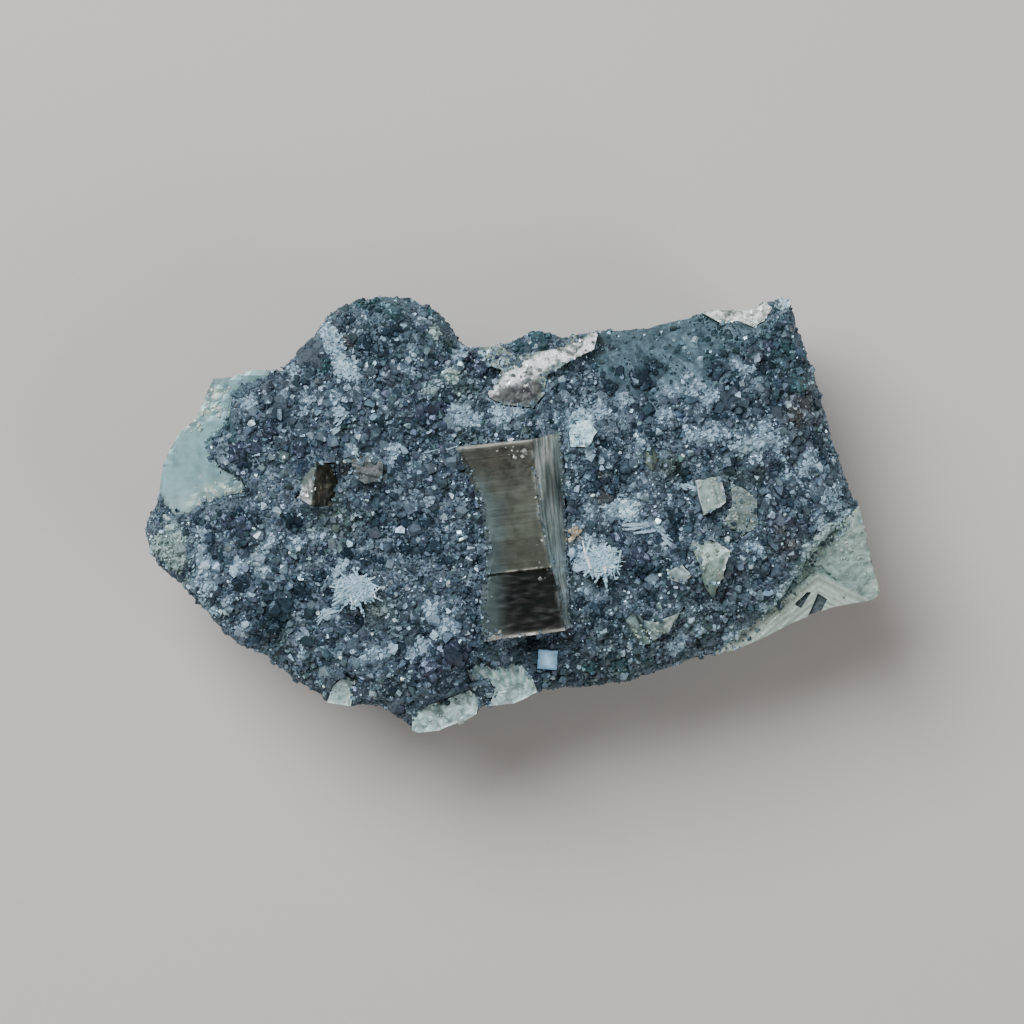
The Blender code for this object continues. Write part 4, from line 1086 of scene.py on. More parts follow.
class SPECIMEN_OT_border_grains(Operator):
    """Grows fine grains of the crust over the borders of the crystals that it half covers"""

    bl_idname = "specimen.border_grains"
    bl_label = "Border Grains"

    # Piece, how far in from its edges or from the rock, and how much of that is covered.
    BY_EDGE = (
        ("square_crystal", 0.5, 0.45), ("dull_crystal", 1.5, 0.95), ("wedge_crystal", 0.8, 0.7),
        ("small_square_crystal", 0.6, 0.65), ("forked_crystal", 0.6, 0.5), ("spike_crystal", 0.5, 0.5),
        ("tan_block", 0.7, 0.65), ("ridged_crystal", 0.4, 0.4), ("white_lump", 0.9, 0.9),
    )
    BY_ROCK = (
        ("smooth_left_crystal", 0.9, 0.6), ("chevron_crystal", 2.2, 0.9), ("broken_band", 1.2, 0.85),
        ("cream_edge", 0.6, 0.4), ("fan_crystal", 1.0, 0.8), ("lower_tip_crystal", 1.0, 0.8),
        ("lower_left_crystal", 0.9, 0.8),
    )

    def execute(self, context):
        crust = context.scene.specimen_crust
        rng = np.random.default_rng(22)
        corners, normals, _ = triangles_of(bpy.data.objects["crust_rock"])
        open_rock = exposed(corners.mean(axis=1))
        above = (normals[:, 2] > 0.2) & (corners[:, 0, 2] > RIM_HEIGHT - 3)
        rock = tree_of(corners[open_rock & above])
        found = self.on_sides(tree_of(corners[open_rock & ~above]), rng)
        on_sides = sum(len(points) for points, _ in found)
        for name, reach, share in self.BY_EDGE + self.BY_ROCK:
            points, normals = scattered_on(name, 0.36, rng, facing_up(LOWEST_TOP))
            if (name, reach, share) in self.BY_EDGE:
                near = near_edge(points, EDGES[name], reach)
            else:
                away = distance_to(rock, points) + 0.5 * noise_at(points, 1.2, 5)
                near = 1 - ramp(away, 0.1 * reach, reach)
            if name == "broken_band":
                broken = SPECIMEN_OT_broken_crystals
                seen = zone_weight(points, broken.BRIGHT_BAND) + zone_weight(points, broken.BROWN_FACE)
                near = np.maximum(near, 1.3 * (1 - ramp(seen, 0.15, 0.5)))
                near *= 1 - 0.45 * ramp(seen, 0.5, 0.9)
            kept = rng.random(len(points)) < share * near
            found.append((points[kept], normals[kept]))
        found.append(self.on_long_face(rng))
        points, normals = gathered(found)
        count = len(points)
        tones = rng.beta(1.5, 2.0, count)
        tints = crust_tints(points, crust, tones)
        tints = blended(tints, dust_tints(points, crust, rng), rng.uniform(-0.3, 1.0, count).clip(0, 1))
        on_face = np.arange(count) >= count - len(found[-1][0])
        tints[on_face] *= 0.6
        # Half the usual width on the long face, on the specimen's sides and elsewhere.
        usual = np.where(on_face, 0.14, np.where(np.arange(count) < on_sides, 0.32, 0.2))
        spread = uneven(count, 0.35, rng).clip(0.4, 1.8) * usual
        sizes = spread[:, None] * rng.uniform(0.65, 1.2, (count, 3))
        shapes = [four_sided_shape(), splinter_shape()] + block_shapes()[:1]
        made = strewn("border_grains", shapes, points, normals, sizes, tints, rng)
        finish_piece(made, sulphide_finish("border grains"), "crust")
        return {"FINISHED"}

    def on_sides(self, rock, rng):
        """Places round the borders of the faces that crystals show on the specimen's sides."""
        found = []

        def beside(points, normals):
            return (normals[:, 2] < 0.3) & (points[:, 2] > 3 * RESTING)

        for name, _, _ in self.BY_ROCK:
            points, normals = scattered_on(name, 0.5, rng, beside)
            near = 1 - ramp(distance_to(rock, points) + 0.7 * noise_at(points, 1.4, 5), 0.1, 1.1)
            kept = rng.random(len(points)) < 0.85 * near
            found.append((points[kept] - 0.1 * normals[kept], normals[kept]))
        return found

    def on_long_face(self, rng):
        """Places along the left border of the striated crystal."""
        long_face = SPECIMEN_OT_striated_crystal
        points, normals = scattered_on("striated_crystal", 0.2, rng, facing_up(long_face.RAISED))
        lines = (long_face.LEFT, long_face.RIDGE, long_face.FOOT)
        left, ridge, foot = (line_at(line, points) for line in lines)
        inset = (points[:, 0] - left) / (ridge - left) + 0.07 * noise_at(points, 1.3, 3)
        low = 0.3 * around(points[:, 1], -16.6, 0.5)
        along_ridge = 0.22 * around(points[:, 0], ridge, 0.25) * (points[:, 1] < 6)
        along_foot = 0.9 * ramp(points[:, 0] - foot, -0.5, -0.1)
        covered = 0.6 * (1 - ramp(inset, 0.0, 0.14)) + low + along_ridge + along_foot
        kept = rng.random(len(points)) < np.clip(covered, 0, 0.85)
        return points[kept], normals[kept]


# The crystals


EDGES = {}  # search trees of the sharp edges of the pieces that have been modelled
EDGE_STEP = 0.12  # distance between the points that stand for a sharp edge


def sharp_edges(obj, least_angle=0.5):
    """A search tree of points along a piece's sharp edges."""
    shape = bmesh.new()
    shape.from_mesh(obj.data)
    places = []
    for edge in shape.edges:
        if len(edge.link_faces) == 2 and edge.calc_face_angle() > least_angle:
            a, b = (v.co / MM for v in edge.verts)
            pieces = max(1, round((b - a).length / EDGE_STEP))
            places += [a.lerp(b, k / pieces) for k in range(pieces + 1)]
    shape.free()
    tree = KDTree(len(places))
    for k, place in enumerate(places):
        tree.insert(place, k)
    tree.balance()
    EDGES[obj.name] = tree
    return tree


def near_edge(points, tree, reach):
    """1 on a sharp edge, falling to 0 at this reach from it."""
    away = np.array([tree.find(Vector(p))[2] for p in points])
    return 1 - ramp(away, 0, reach)


def chipped(rows, near, depth, seed):
    """Corners near an edge drawn in towards the middle, more in some places than in others."""
    inward = rows[:, :2].mean(axis=0) - rows[:, :2]
    inward /= np.linalg.norm(inward, axis=1)[:, None] + 0.01
    chips = ramp(noise_at(rows, 0.9, seed) + 0.5 * noise_at(rows, 0.4, seed + 1), -0.3, 0.6)
    moved = rows.copy()
    moved[:, :2] += inward * (depth * near * chips)[:, None]
    return moved


def line_at(line, points):
    """The line's x at each point's y."""
    return np.interp(points[:, 1], [y for _, y in reversed(line)], [x for x, _ in reversed(line)])


def growth_profile(start, end, spacing, height, rng):
    """(places, heights) of growth lines between two places, at uneven distances."""
    places = [start]
    while places[-1] < end:
        places.append(places[-1] + spacing * rng.uniform(0.45, 1.7))
    return np.array(places), rng.uniform(-height, height, len(places))


class SPECIMEN_OT_striated_crystal(Operator):
    """Models the large pyrite crystal with its growth lines, its ledge and its side face"""

    bl_idname = "specimen.striated_crystal"
    bl_label = "Striated Crystal"

    WAY = (-0.117, 0.993, 0.0)  # across the growth lines of the long face
    TOP, FOOT_END = 9.4, -16.55  # distances along WAY of its two ends
    LEDGE = -7.9  # and of the ledge across it
    RIDGE = ((2.8, 9.7), (3.3, 4.0), (3.9, -1.2), (5.0, -6.0), (6.3, -10.8), (7.2, -15.7))
    FOOT = ((6.8, 10.8), (7.1, 5.0), (7.3, 0.0), (7.6, -6.0), (7.9, -10.8), (8.2, -15.3))
    LEFT = ((-7.4, 8.7), (-5.4, 4.3), (-3.7, -1.0), (-3.2, -6.3), (-4.1, -11.6), (-3.8, -17.2))
    LENGTH = 26
    TOP_FACE = 26.5  # what faces up and is higher than this is the long face or the side face
    RAISED = 28  # all of the long face is higher than this
    FACE_HEIGHT, FOOT_HEIGHT = 32.35, 28.4  # of the long face, and of the side face where it ends
    HIGHEST = 32.7
    SPECKS = (  # zones with bright crumbs
        (4.1, -7.4, 0.9, 0.6), (4.6, -8.6, 0.5, 0.5), (1.3, 7.9, 1.0, 0.35), (-0.4, 8.8, 0.8, 0.3),
        (4.0, 1.7, 0.5, 0.3), (4.2, -3.7, 0.6, 0.4), (5.0, -9.6, 0.5, 0.3), (-1.9, -16.6, 0.6, 0.5),
        (3.9, -16.2, 0.7, 0.3), (7.4, -15.2, 0.5, 0.3),
    )

    def execute(self, context):
        pyrite = context.scene.specimen_pyrite
        rng = np.random.default_rng(31)
        made = copy_of("striated_pyrite_crystal", "striated_crystal")
        spacing = pyrite.line_spacing / MM
        places, heights = growth_profile(-18.6, 11.2, spacing, pyrite.line_height / MM, rng)
        edit(made)
        for place in places:
            cut_across(np.array(self.WAY) * place, self.WAY)
        for x in np.arange(-7.2, 8.2, 0.35):
            cut_across((x, 0, 0), (1, 0, 0))
        for share in np.linspace(0.06, 0.94, 12):
            top, bottom = (Vector(self.RIDGE[k]).lerp(Vector(self.FOOT[k]), share) for k in (0, -1))
            run = bottom - top
            cut_across((*top, 0), (run.y, -run.x, 0))
        for level in (25.5, 27.0, 28.5, 30.0):
            cut_across((0, 0, level), (0, 0, 1))
        close_edit()

        rows = corners_of(made)
        along = rows @ np.array(self.WAY)
        left, ridge, foot = (line_at(line, rows) for line in (self.LEFT, self.RIDGE, self.FOOT))
        on_top = (corner_normals(made)[:, 2] > 0.25) & (rows[:, 2] > self.TOP_FACE)
        inset = np.clip((rows[:, 0] - left) / (ridge - left), 0, 1)
        strip = np.clip((rows[:, 0] - ridge) / (foot - ridge), 0, 1)
        down = self.LENGTH * (self.TOP - along) / (self.TOP - self.FOOT_END)
        below = ramp(self.LEDGE - along, -0.08, 0.08)
        face = self.FACE_HEIGHT - 0.03 * np.abs(down - self.LENGTH / 2) - 0.7 * below
        face += np.interp(inset, (0, 0.08, 0.5, 1), (-0.55, -0.3, 0, 0.2))
        face += np.interp(along, places, heights) + 0.02 * noise_at(rows, 2.5, 1)
        face += 0.07 * below * ramp(inset, 0.1, 0.4) * noise_at(rows * [0.4, 1, 1], 0.6, 6)
        foot_height = self.FOOT_HEIGHT - 0.016 * down
        grooves = np.interp(strip, np.linspace(0, 1, 14), rng.uniform(-0.07, 0.07, 14))
        slope = face + (foot_height - face) * strip + grooves * (strip < 0.96)
        slope += 0.05 * noise_at(rows * [1, 0.5, 1], 0.6, 2)
        level = np.where(strip > 0.01, slope, face)
        rows[:, 2] = np.where(on_top, np.minimum(level, self.HIGHEST), rows[:, 2])
        move_corners(made, rows)
        shades = np.interp(along, places, rng.uniform(0.93, 1.07, len(places)))
        tints = self.tints(rows, along, inset, ridge, strip, on_top, pyrite, shades)
        paint(made, tints, on_top * ramp(strip, 0, 0.05))
        finish_piece(made, self.finish(), "dark_pyrite", "striated_pyrite_crystal")
        return {"FINISHED"}

    def tints(self, rows, along, inset, ridge, strip, on_top, pyrite, shades):
        """Grey olive, painted dark as the long face's reflection from above, browner above, greenish at the
        left border, near black below the ledge, with painted highlights along the ridge, the ledge and the
        two ends.
        """
        upper = ramp(along + 0.6 * noise_at(rows, 2.0, 12), 1.5, 8.0)
        speckled = upper * ramp(rows[:, 0], -2.5, -0.5) * patchy(rows, 0.45, 9, -0.15, 0.15)
        dim = around(rows[:, 0], -1.2, 1.3) * around(rows[:, 1], 0.2, 2.3)
        streaks = (0.5 + 0.5 * noise_at(rows * [1.0, 0.12, 1.0], 0.6, 11)) * ramp(inset, 0.5, 0.8)
        border = (1 - ramp(inset + 0.12 * noise_at(rows, 1.6, 3), 0.1, 0.5)) * (1 - 0.85 * ramp(along, 2, 7))
        # The dark pyrite base is a painted reflection: the long face mirrors dark surroundings from above.
        tints = washed(
            np.array(pyrite.dark) * shades[:, None], ("3C3932", 0.75 * upper), ("24241F", 0.85 * speckled),
            ("35393A", 0.65 * dim), ("7C8178", 0.25 * streaks), ("54666A", 0.7 * border),
        )
        past_ledge = self.LEDGE - along
        streaks = patchy(rows * [0.3, 1.4, 1.0], 0.45, 4, -0.2, 0.4)
        streaks *= 0.15 + 0.5 * ramp(past_ledge, 1.0, 8.0)
        dark = blended(linear("15191A"), linear("454241"), streaks)
        tints = blended(tints, dark, 0.93 * ramp(past_ledge, 0.0, 0.3) * ramp(inset, 0.12, 0.4))
        streaks = patchy(rows * [1.0, 0.3, 1.0], 1.2, 5, -0.4, 0.4)
        side = washed(
            blended(linear("95A39C"), linear("D6DFD9"), streaks),
            ("44514F", 0.75 * around(rows[:, 1], 3.6, 3.0) * ramp(strip, 0.25, 0.6)),
            ("77817C", 0.55 * around(rows[:, 1], -2.5, 4.0)),
        )
        tints = blended(tints, side, on_top * ramp(strip, 0.005, 0.05))
        # Painted highlights: pale lines along the ridge, along the ledge and along the face's two ends, where
        # its edges catch the light.
        crest_highlight = around(rows[:, 0], ridge, 0.3) * patchy(rows, 1.6, 8, -0.2, 0.3)
        ledge = around(along, self.LEDGE + 0.12, 0.14) * ramp(rows[:, 0], -1.8, 0.2)
        ledge *= (1 - ramp(strip, 0.0, 0.1)) * patchy(rows, 0.7, 13, -0.4, 0.1)
        ends = np.maximum(around(along, 9.3, 0.2), around(along, -16.4, 0.25))
        lines = np.clip(0.7 * ledge + 0.75 * ends, 0, 1)
        return washed(tints, ("C4D0CA", 0.4 * crest_highlight * on_top), ("DAD8CC", lines * on_top))

    def finish(self):
        """Pyrite grown in fine steps: a dark mirror from straight above, lined by its steps."""
        made, tree, shader, place = mineral("striated pyrite", (0.8, 0.9, 1.1), (1.2, 0.28, 0.42), 0.7)
        # Coordinates drawn out along the side face's fibres, and along the growth lines.
        on_fibres, on_lines = (
            add_node(
                tree, "ShaderNodeMapping", {"vector_type": "TEXTURE"},
                {"Vector": place, "Rotation": (0, 0, angle), "Scale": (times, 1.0, 1.0)},
            ).outputs[0]
            for angle, times in ((1.684, 14.0), (0.117, 8.0))
        )
        tint = shader.inputs["Base Color"].links[0].from_socket
        on_side = add_node(tree, "ShaderNodeAttribute", {"attribute_name": "tint"}).outputs["Alpha"]
        # The fibres are a twentieth of a millimetre wide, and drawn coarser so that they show.
        fibres = patches(tree, on_fibres, 0.3, 0.4, 1.45, 0.32, 0.68)
        tree.links.new(shaded(tree, tint, fibres, on_side), shader.inputs["Base Color"])
        # Growth lines of some hundredths of a millimetre, drawn 0.15 mm apart so that they show.
        grain(tree, shader, on_lines, 0.15, 2.0, 0.35, 0.02)
        return made


class SPECIMEN_OT_smooth_left_crystal(Operator):
    """Models the broad smooth face along the left edge"""

    bl_idname = "specimen.smooth_left_crystal"
    bl_label = "Smooth Left Crystal"

    # Zones where it is broken, at its upper end and along its lower ledge.
    CRUMBLY = (
        (-40.4, 16.4, 1.7, 1.0), (-41.6, 14.2, 1.5, 0.9), (-39.6, 14.0, 1.2, 0.7), (-43.0, 12.0, 0.8, 0.8),
    )
    LEDGE = ((-40.6, 2.6, 1.2, 1.0), (-38.2, 3.2, 1.3, 1.0), (-42.6, 1.4, 1.0, 0.8), (-36.4, 3.6, 0.9, 1.0))

    def execute(self, context):
        pyrite = context.scene.specimen_pyrite
        rng = np.random.default_rng(32)
        made = copy_of("smooth_left_pyrite_crystal", "smooth_left_crystal")
        edges = sharp_edges(made)
        grid_cut(made, 0.6, rng, 1.0)
        rows = corners_of(made)
        top = rows[:, 2] > RIM_HEIGHT
        edge = near_edge(rows, edges, 0.5)
        rough = np.clip(zone_weight(rows, self.CRUMBLY) + zone_weight(rows, self.LEDGE), 0, 1)
        lift = top * (0.025 * noise_at(rows, 4.0, 1) + 0.2 * rough * noise_at(rows, 0.8, 2))
        lift -= 0.1 * edge * top * (0.5 + noise_at(rows, 0.9, 3))
        rows[:, 2] += lift
        rows -= corner_normals(made) * (~top * 0.2 * np.clip(0.5 + noise_at(rows, 1.2, 4), 0, 1))[:, None]
        move_corners(made, rows)
        tone = 1.0 + 0.1 * noise_at(rows, 5.0, 5) + 0.06 * noise_at(rows, 1.0, 6)
        tints = np.array(pyrite.pale) * tone[:, None]
        tints = washed(
            tints, ("B8D2D0", 0.7 * ramp(-rows[:, 1], -5.0, 1.0) * top),
            ("D9E0CC", 0.7 * rough * patchy(rows, 0.7, 7, -0.2, 0.3)),
            ("7F8C82", 0.5 * edge * top), ("6C7672", 0.75 * ~top),
        )
        paint(made, tints)
        finish = pyrite_finish("smooth pyrite", 0.45, 0.38, 1.5)
        finish_piece(made, finish, "pale_pyrite", "smooth_left_pyrite_crystal")
        return {"FINISHED"}


class SPECIMEN_OT_chevron_crystal(Operator):
    """Models the corner crystal with its nested chevrons of growth lines and its two pits"""

    bl_idname = "specimen.chevron_crystal"
    bl_label = "Chevron Crystal"

    APEX = (41.3, -8.0)
    TOP_FACE = 20.0  # what is higher than this is its upper surface
    PITS_FROM = 37.5  # the pits lie right of this
    SOLID_PIT, PIT = 1.15, 0.75  # how deep the solid's pits are at least, and how deep they are made
    LEFT_ARM = (0.62, -0.78)  # square to the arm that runs down to the left
    RIGHT_ARM = (-0.45, -0.89)

    def execute(self, context):
        rng = np.random.default_rng(33)
        made = copy_of("chevron_corner_pyrite_crystal", "chevron_crystal")
        edges = sharp_edges(made)
        places, heights = growth_profile(0.0, 9.0, 0.34, 0.03, rng)
        heights[::2] = np.abs(heights[::2])
        heights[1::2] = -np.abs(heights[1::2])
        apex = np.array([*self.APEX, 0.0])
        edit(made)
        for arm in (self.LEFT_ARM, self.RIGHT_ARM):
            way = np.array([*arm, 0.0])
            for place in places:
                cut_across(apex + way * place, way)
        close_edit()
        grid_cut(made, 0.6, rng, 1.0)
        rows = corners_of(made)
        top = rows[:, 2] > self.TOP_FACE
        off = rows[:, :2] - np.array(self.APEX)
        inward = np.minimum(off @ np.array(self.LEFT_ARM), off @ np.array(self.RIGHT_ARM))
        lined = ramp(inward, -0.1, 0.4)
        flat = top & (inward < -0.3) & (corner_normals(made)[:, 2] > 0.9)
        level = np.c_[rows[:, :2], np.ones(len(rows))]
        level = level @ np.linalg.lstsq(level[flat], rows[flat, 2], rcond=None)[0]
        deep = top & (rows[:, 0] > self.PITS_FROM) & (rows[:, 2] < level - self.SOLID_PIT)
        rows[deep, 2] = level[deep] - self.PIT
        lowered = top & ~deep & (inward >= -0.3)
        rows[lowered, 2] = level[lowered] - 0.03 * np.clip(inward[lowered], 0, 9)
        edge = near_edge(rows, edges, 0.45)
        flaky = ramp(rows[:, 0] + 0.4 * rows[:, 1], 42.5, 46.0)
        lift = lined * np.interp(inward, places, heights) + 0.02 * noise_at(rows, 1.6, 1)
        lift += (1 - lined) * (0.03 + 0.04 * flaky) * noise_at(rows, 0.6, 2)
        rows[:, 2] += top * (lift - 0.08 * edge)
        rows -= corner_normals(made) * (~top * 0.2 * np.clip(0.5 + noise_at(rows, 1.1, 4), 0, 1))[:, None]
        rows = chipped(rows, edge * top * (lined < 0.5), 0.3, 9)
        move_corners(made, rows)
        shades = rng.uniform(0.95, 1.2, len(places))
        shades[::2] = rng.uniform(0.52, 0.85, len(shades[::2]))
        bands = np.interp(inward, places, shades)
        grains = ramp(noise_at(rows, 0.4, 6) + 0.3 * noise_at(rows, 1.0, 7), -0.45, 0.45)
        tints = blended(linear("84A097"), linear("A9C3B9"), grains)
        tints = washed(
            tints, ("CFD9CC", 0.5 * flaky * patchy(rows, 0.6, 7, -0.1, 0.3)),
            ("5F6E69", 0.6 * patchy(rows, 0.8, 8, 0.15, 0.4)),
        )
        tints = blended(tints, np.array(linear("C4D6C9")) * bands[:, None], 0.92 * lined)
        # Painted shade: the pit floors are painted dark, as recesses that little light reaches, banded like
        # the growth lines.
        tints = blended(tints, np.array(linear("465257")) * (0.5 + 0.9 * bands)[:, None], 0.95 * deep)
        paint(made, washed(tints, ("6C7672", 0.75 * ~top)))
        finish = pyrite_finish("corner pyrite", 0.35, 0.4, 0.5)
        finish_piece(made, finish, "pale_pyrite", "chevron_corner_pyrite_crystal")
        return {"FINISHED"}


class SPECIMEN_OT_broken_crystals(Operator):
    """Models the crystals that were broken across: crumbly faces with bright grains on them"""

    bl_idname = "specimen.broken_crystals"
    bl_label = "Broken Crystals"

    BRIGHT_BAND = (
        (-3.3, 15.3, 0.4, 1.0), (-2.7, 15.9, 0.4, 1.0), (-2.1, 16.4, 0.4, 1.0), (-1.4, 17.0, 0.6, 1.0),
        (-0.6, 17.6, 0.9, 1.0), (0.8, 18.3, 1.1, 0.9), (2.3, 19.2, 1.2, 0.9), (3.9, 20.1, 1.2, 0.9),
        (5.6, 20.9, 1.1, 0.9), (7.4, 21.5, 1.1, 0.9), (9.2, 22.0, 1.1, 0.9), (10.9, 22.6, 1.1, 1.0),
        (12.0, 23.0, 0.9, 1.0),
    )
    BROWN_FACE = ((-1.7, 15.5, 1.2, 1.0), (0.1, 15.6, 1.3, 1.0), (1.9, 15.9, 1.3, 1.0), (3.2, 16.6, 1.1, 0.9))

    def execute(self, context):
        pyrite = context.scene.specimen_pyrite
        rng = np.random.default_rng(34)
        for node, name, cuts, tints_of, bright in (
            ("broken_upper_pyrite_crystal", "broken_band", 3, self.band_tints, True),
            ("upper_edge_pyrite_crystal", "cream_edge", 3, self.cream_tints, True),
            ("fan_pyrite_crystal", "fan_crystal", 4, self.fan_tints, False),
            ("lower_tip_pyrite_crystal", "lower_tip_crystal", 4, self.edge_tints, False),
            ("lower_left_pyrite_crystal", "lower_left_crystal", 4, self.edge_tints, False),
        ):
            self.broken(node, name, cuts, tints_of, bright)
        self.crumbs(pyrite, rng)
        return {"FINISHED"}

    def broken(self, node, name, cuts, tints_of, bright):
        """A copy of the solid with a crumbly or fan-lined top."""
        made = copy_of(node, name)
        edges = sharp_edges(made, 0.7)
        subdivide(made, cuts)
        rows = corners_of(made)
        normals = corner_normals(made)
        top = ramp(normals[:, 2], 0.3, 0.7)
        depth = 0.05 + 0.2 * cells_at(rows, 0.9, 2) + 0.1 * noise_at(rows, 0.45, 3)
        depth *= 1.0 if bright else 0.6
        if name == "fan_crystal":
            depth = 0.4 * depth + 0.07 * np.abs(self.fan_lines(rows))
        rows -= normals * (depth * (0.35 + 0.65 * top))[:, None]
        rows[:, 2] = np.maximum(rows[:, 2], 0)
        move_corners(made, rows)
        beside = ("6F7A76", 0.6 * (1 - top))
        on_edges = ("DCE8E2", 0.35 * near_edge(rows, edges, 0.4) * top)
        paint(made, washed(tints_of(rows), beside, on_edges))
        finish = pyrite_finish(name, 0.05 if bright else 0.3, 0.42, 0.5)
        finish_piece(made, finish, "bright_pyrite" if bright else "pale_pyrite", node)

    def fan_lines(self, rows):
        """Waves from -1 to 1 across the lines that spread from a point below the fan crystal."""
        angle = np.arctan2(rows[:, 1] + 27.5, rows[:, 0] - 1.0)
        return np.sin(angle * 34 + noise_at(rows, 2, 4))

    def band_tints(self, rows):
        """White gold along the band, pyrite's pale colour raised to white as a painted highlight, streaky
        brown on the face under it, and grey between.
        """
        band = ramp(zone_weight(rows, self.BRIGHT_BAND) + 0.5 * noise_at(rows, 0.9, 8), 0.25, 0.7)
        brown = ramp(zone_weight(rows, self.BROWN_FACE), 0.2, 0.6)
        tints = blended(linear("3E4E52"), linear("8FA397"), patchy(rows, 0.6, 5, -0.3, 0.35))
        streaks = patchy(rows * [0.25, 1.0, 1.0], 0.3, 6, -0.3, 0.3)
        tints = blended(tints, blended(linear("34383A"), linear("666A66"), streaks), brown)
        bright = np.array(bpy.context.scene.specimen_pyrite.bright)
        # Painted highlight: the band's pale pyrite is raised past white to stand for its blown-out sparkle.
        tints = blended(tints, bright * 1.1, band)
        return washed(tints, ("3A4846", 0.85 * self.holes(rows) * band))

    def holes(self, rows):
        """Where the bright broken faces have gaps between their grains."""
        return patchy(rows * [0.75, 1.3, 1.0], 0.75, 7, 0.08, 0.25)

    def cream_tints(self, rows):
        """Cream grains with dark gaps."""
        tints = blended(linear("B0BAB2"), linear("FFFFFA"), patchy(rows, 0.8, 5, -0.35, 0.15))
        return washed(tints, ("4A5A50", 0.8 * self.holes(rows)))

    def fan_tints(self, rows):
        """Pale lines that spread like a fan, stained in places."""
        tints = blended(linear("9CC0BE"), linear("D0EAE6"), ramp(self.fan_lines(rows), -0.6, 0.8))
        return washed(tints, ("6E827F", 0.6 * patchy(rows, 1.3, 6, 0.05, 0.4)))

    def edge_tints(self, rows):
        """Pale patches, stained in places."""
        tints = blended(linear("9FC0BC"), linear("C8E2DE"), patchy(rows, 1.1, 5, -0.35, 0.35))
        return washed(tints, ("5E706E", 0.7 * patchy(rows, 0.8, 6, 0.12, 0.4)))

    def crumbs(self, pyrite, rng):
        """Grains of broken pyrite, bright ones first, then those as dull as the faces they lie on."""
        shapes = block_shapes()[:2] + crumb_shapes()
        left = SPECIMEN_OT_smooth_left_crystal
        corner = ((45.5, -4.5, 3.0, 0.9), (43.5, -5.5, 2.0, 0.5), (48, -9, 2.0, 0.6))
        border = ((35.5, -14.5, 1.2, 0.8), (38.3, -11, 1.2, 0.7), (33, -17, 1, 0.8))
        # Bright crumbs: pyrite grains, most of them tinted white to stand for their sparkle, as painted
        # glints.
        bright = (
            ("broken_band", self.BRIGHT_BAND, 0.32, "FFFFFF"),
            ("cream_edge", ((31, 26.6, 4.5, 1.2),), 0.4, "FFFFFF"),
            ("ridged_crystal", ((-27.6, 2.6, 0.9, 1.2), (-26.9, 3.4, 0.8, 0.8)), 0.36, "F2FAF7"),
            ("striated_crystal", SPECIMEN_OT_striated_crystal.SPECKS, 0.3, "B4B8B0"),
        )
        dull = (
            ("smooth_left_crystal", left.CRUMBLY, 0.4, "DCE8DC"),
            ("smooth_left_crystal", left.LEDGE, 0.4, "DCE8DC"),
            ("chevron_crystal", corner, 0.4, "A4B6AC"),
            ("chevron_crystal", border, 0.4, "BCCABC"),
            ("square_crystal", ((27, 2.6, 2.5, 0.4),), 0.4, "D4E2D8"),
            ("dull_crystal", ((30.4, -0.3, 4.0, 0.7),), 0.4, "9AABA0"),
            ("wedge_crystal", ((27.4, -7.0, 3.5, 0.35),), 0.4, "A2B4A6"),
            ("forked_crystal", ((18.7, -15.6, 3.5, 0.4),), 0.4, "A3B7A8"),
            ("tan_block", ((-19.3, 6.4, 2.5, 0.7),), 0.4, "6E726C"),
            ("fan_crystal", ((0.5, -23.0, 4.0, 0.35),), 0.45, "BCD0CC"),
            ("lower_tip_crystal", ((-9.0, -27.5, 5.0, 0.5),), 0.42, "C2D4CE"),
            ("lower_left_crystal", ((-22.8, -24.0, 2.5, 0.5),), 0.42, "B4C8C2"),
        )
        for made_name, faces, metallic, roughness in (
            ("bright_crumbs", bright, 0.35, 0.28), ("dull_crumbs", dull, 0.2, 0.45),
        ):
            found = []
            for name, zones, spacing, tint in faces:
                points, normals = scattered_on(name, spacing, rng, facing_up(0))
                kept = rng.random(len(points)) < zone_weight(points, zones) * 0.75
                tints = np.array(linear(tint)) * rng.uniform(0.75, 1.1, (kept.sum(), 1))
                # On the band and the cream edge the crumbs are pushed brighter still, a painted highlight.
                if name in ("broken_band", "cream_edge"):
                    tints = washed(tints * 1.1, ("4A5A50", 0.9 * self.holes(points[kept])))
                found.append((points[kept], normals[kept], tints))
            points, normals, tints = gathered(found)
            spread = uneven(len(points), 0.35, rng) * pyrite.crumb_width / MM / 2
            sizes = spread[:, None] * rng.uniform(0.7, 1.2, (len(points), 3)) * np.array([1.0, 1.0, 0.7])
            made = strewn(made_name, shapes, points, normals, sizes, tints, rng)
            finish_piece(made, pyrite_finish(made_name, metallic, roughness, 0.4), "bright_pyrite")


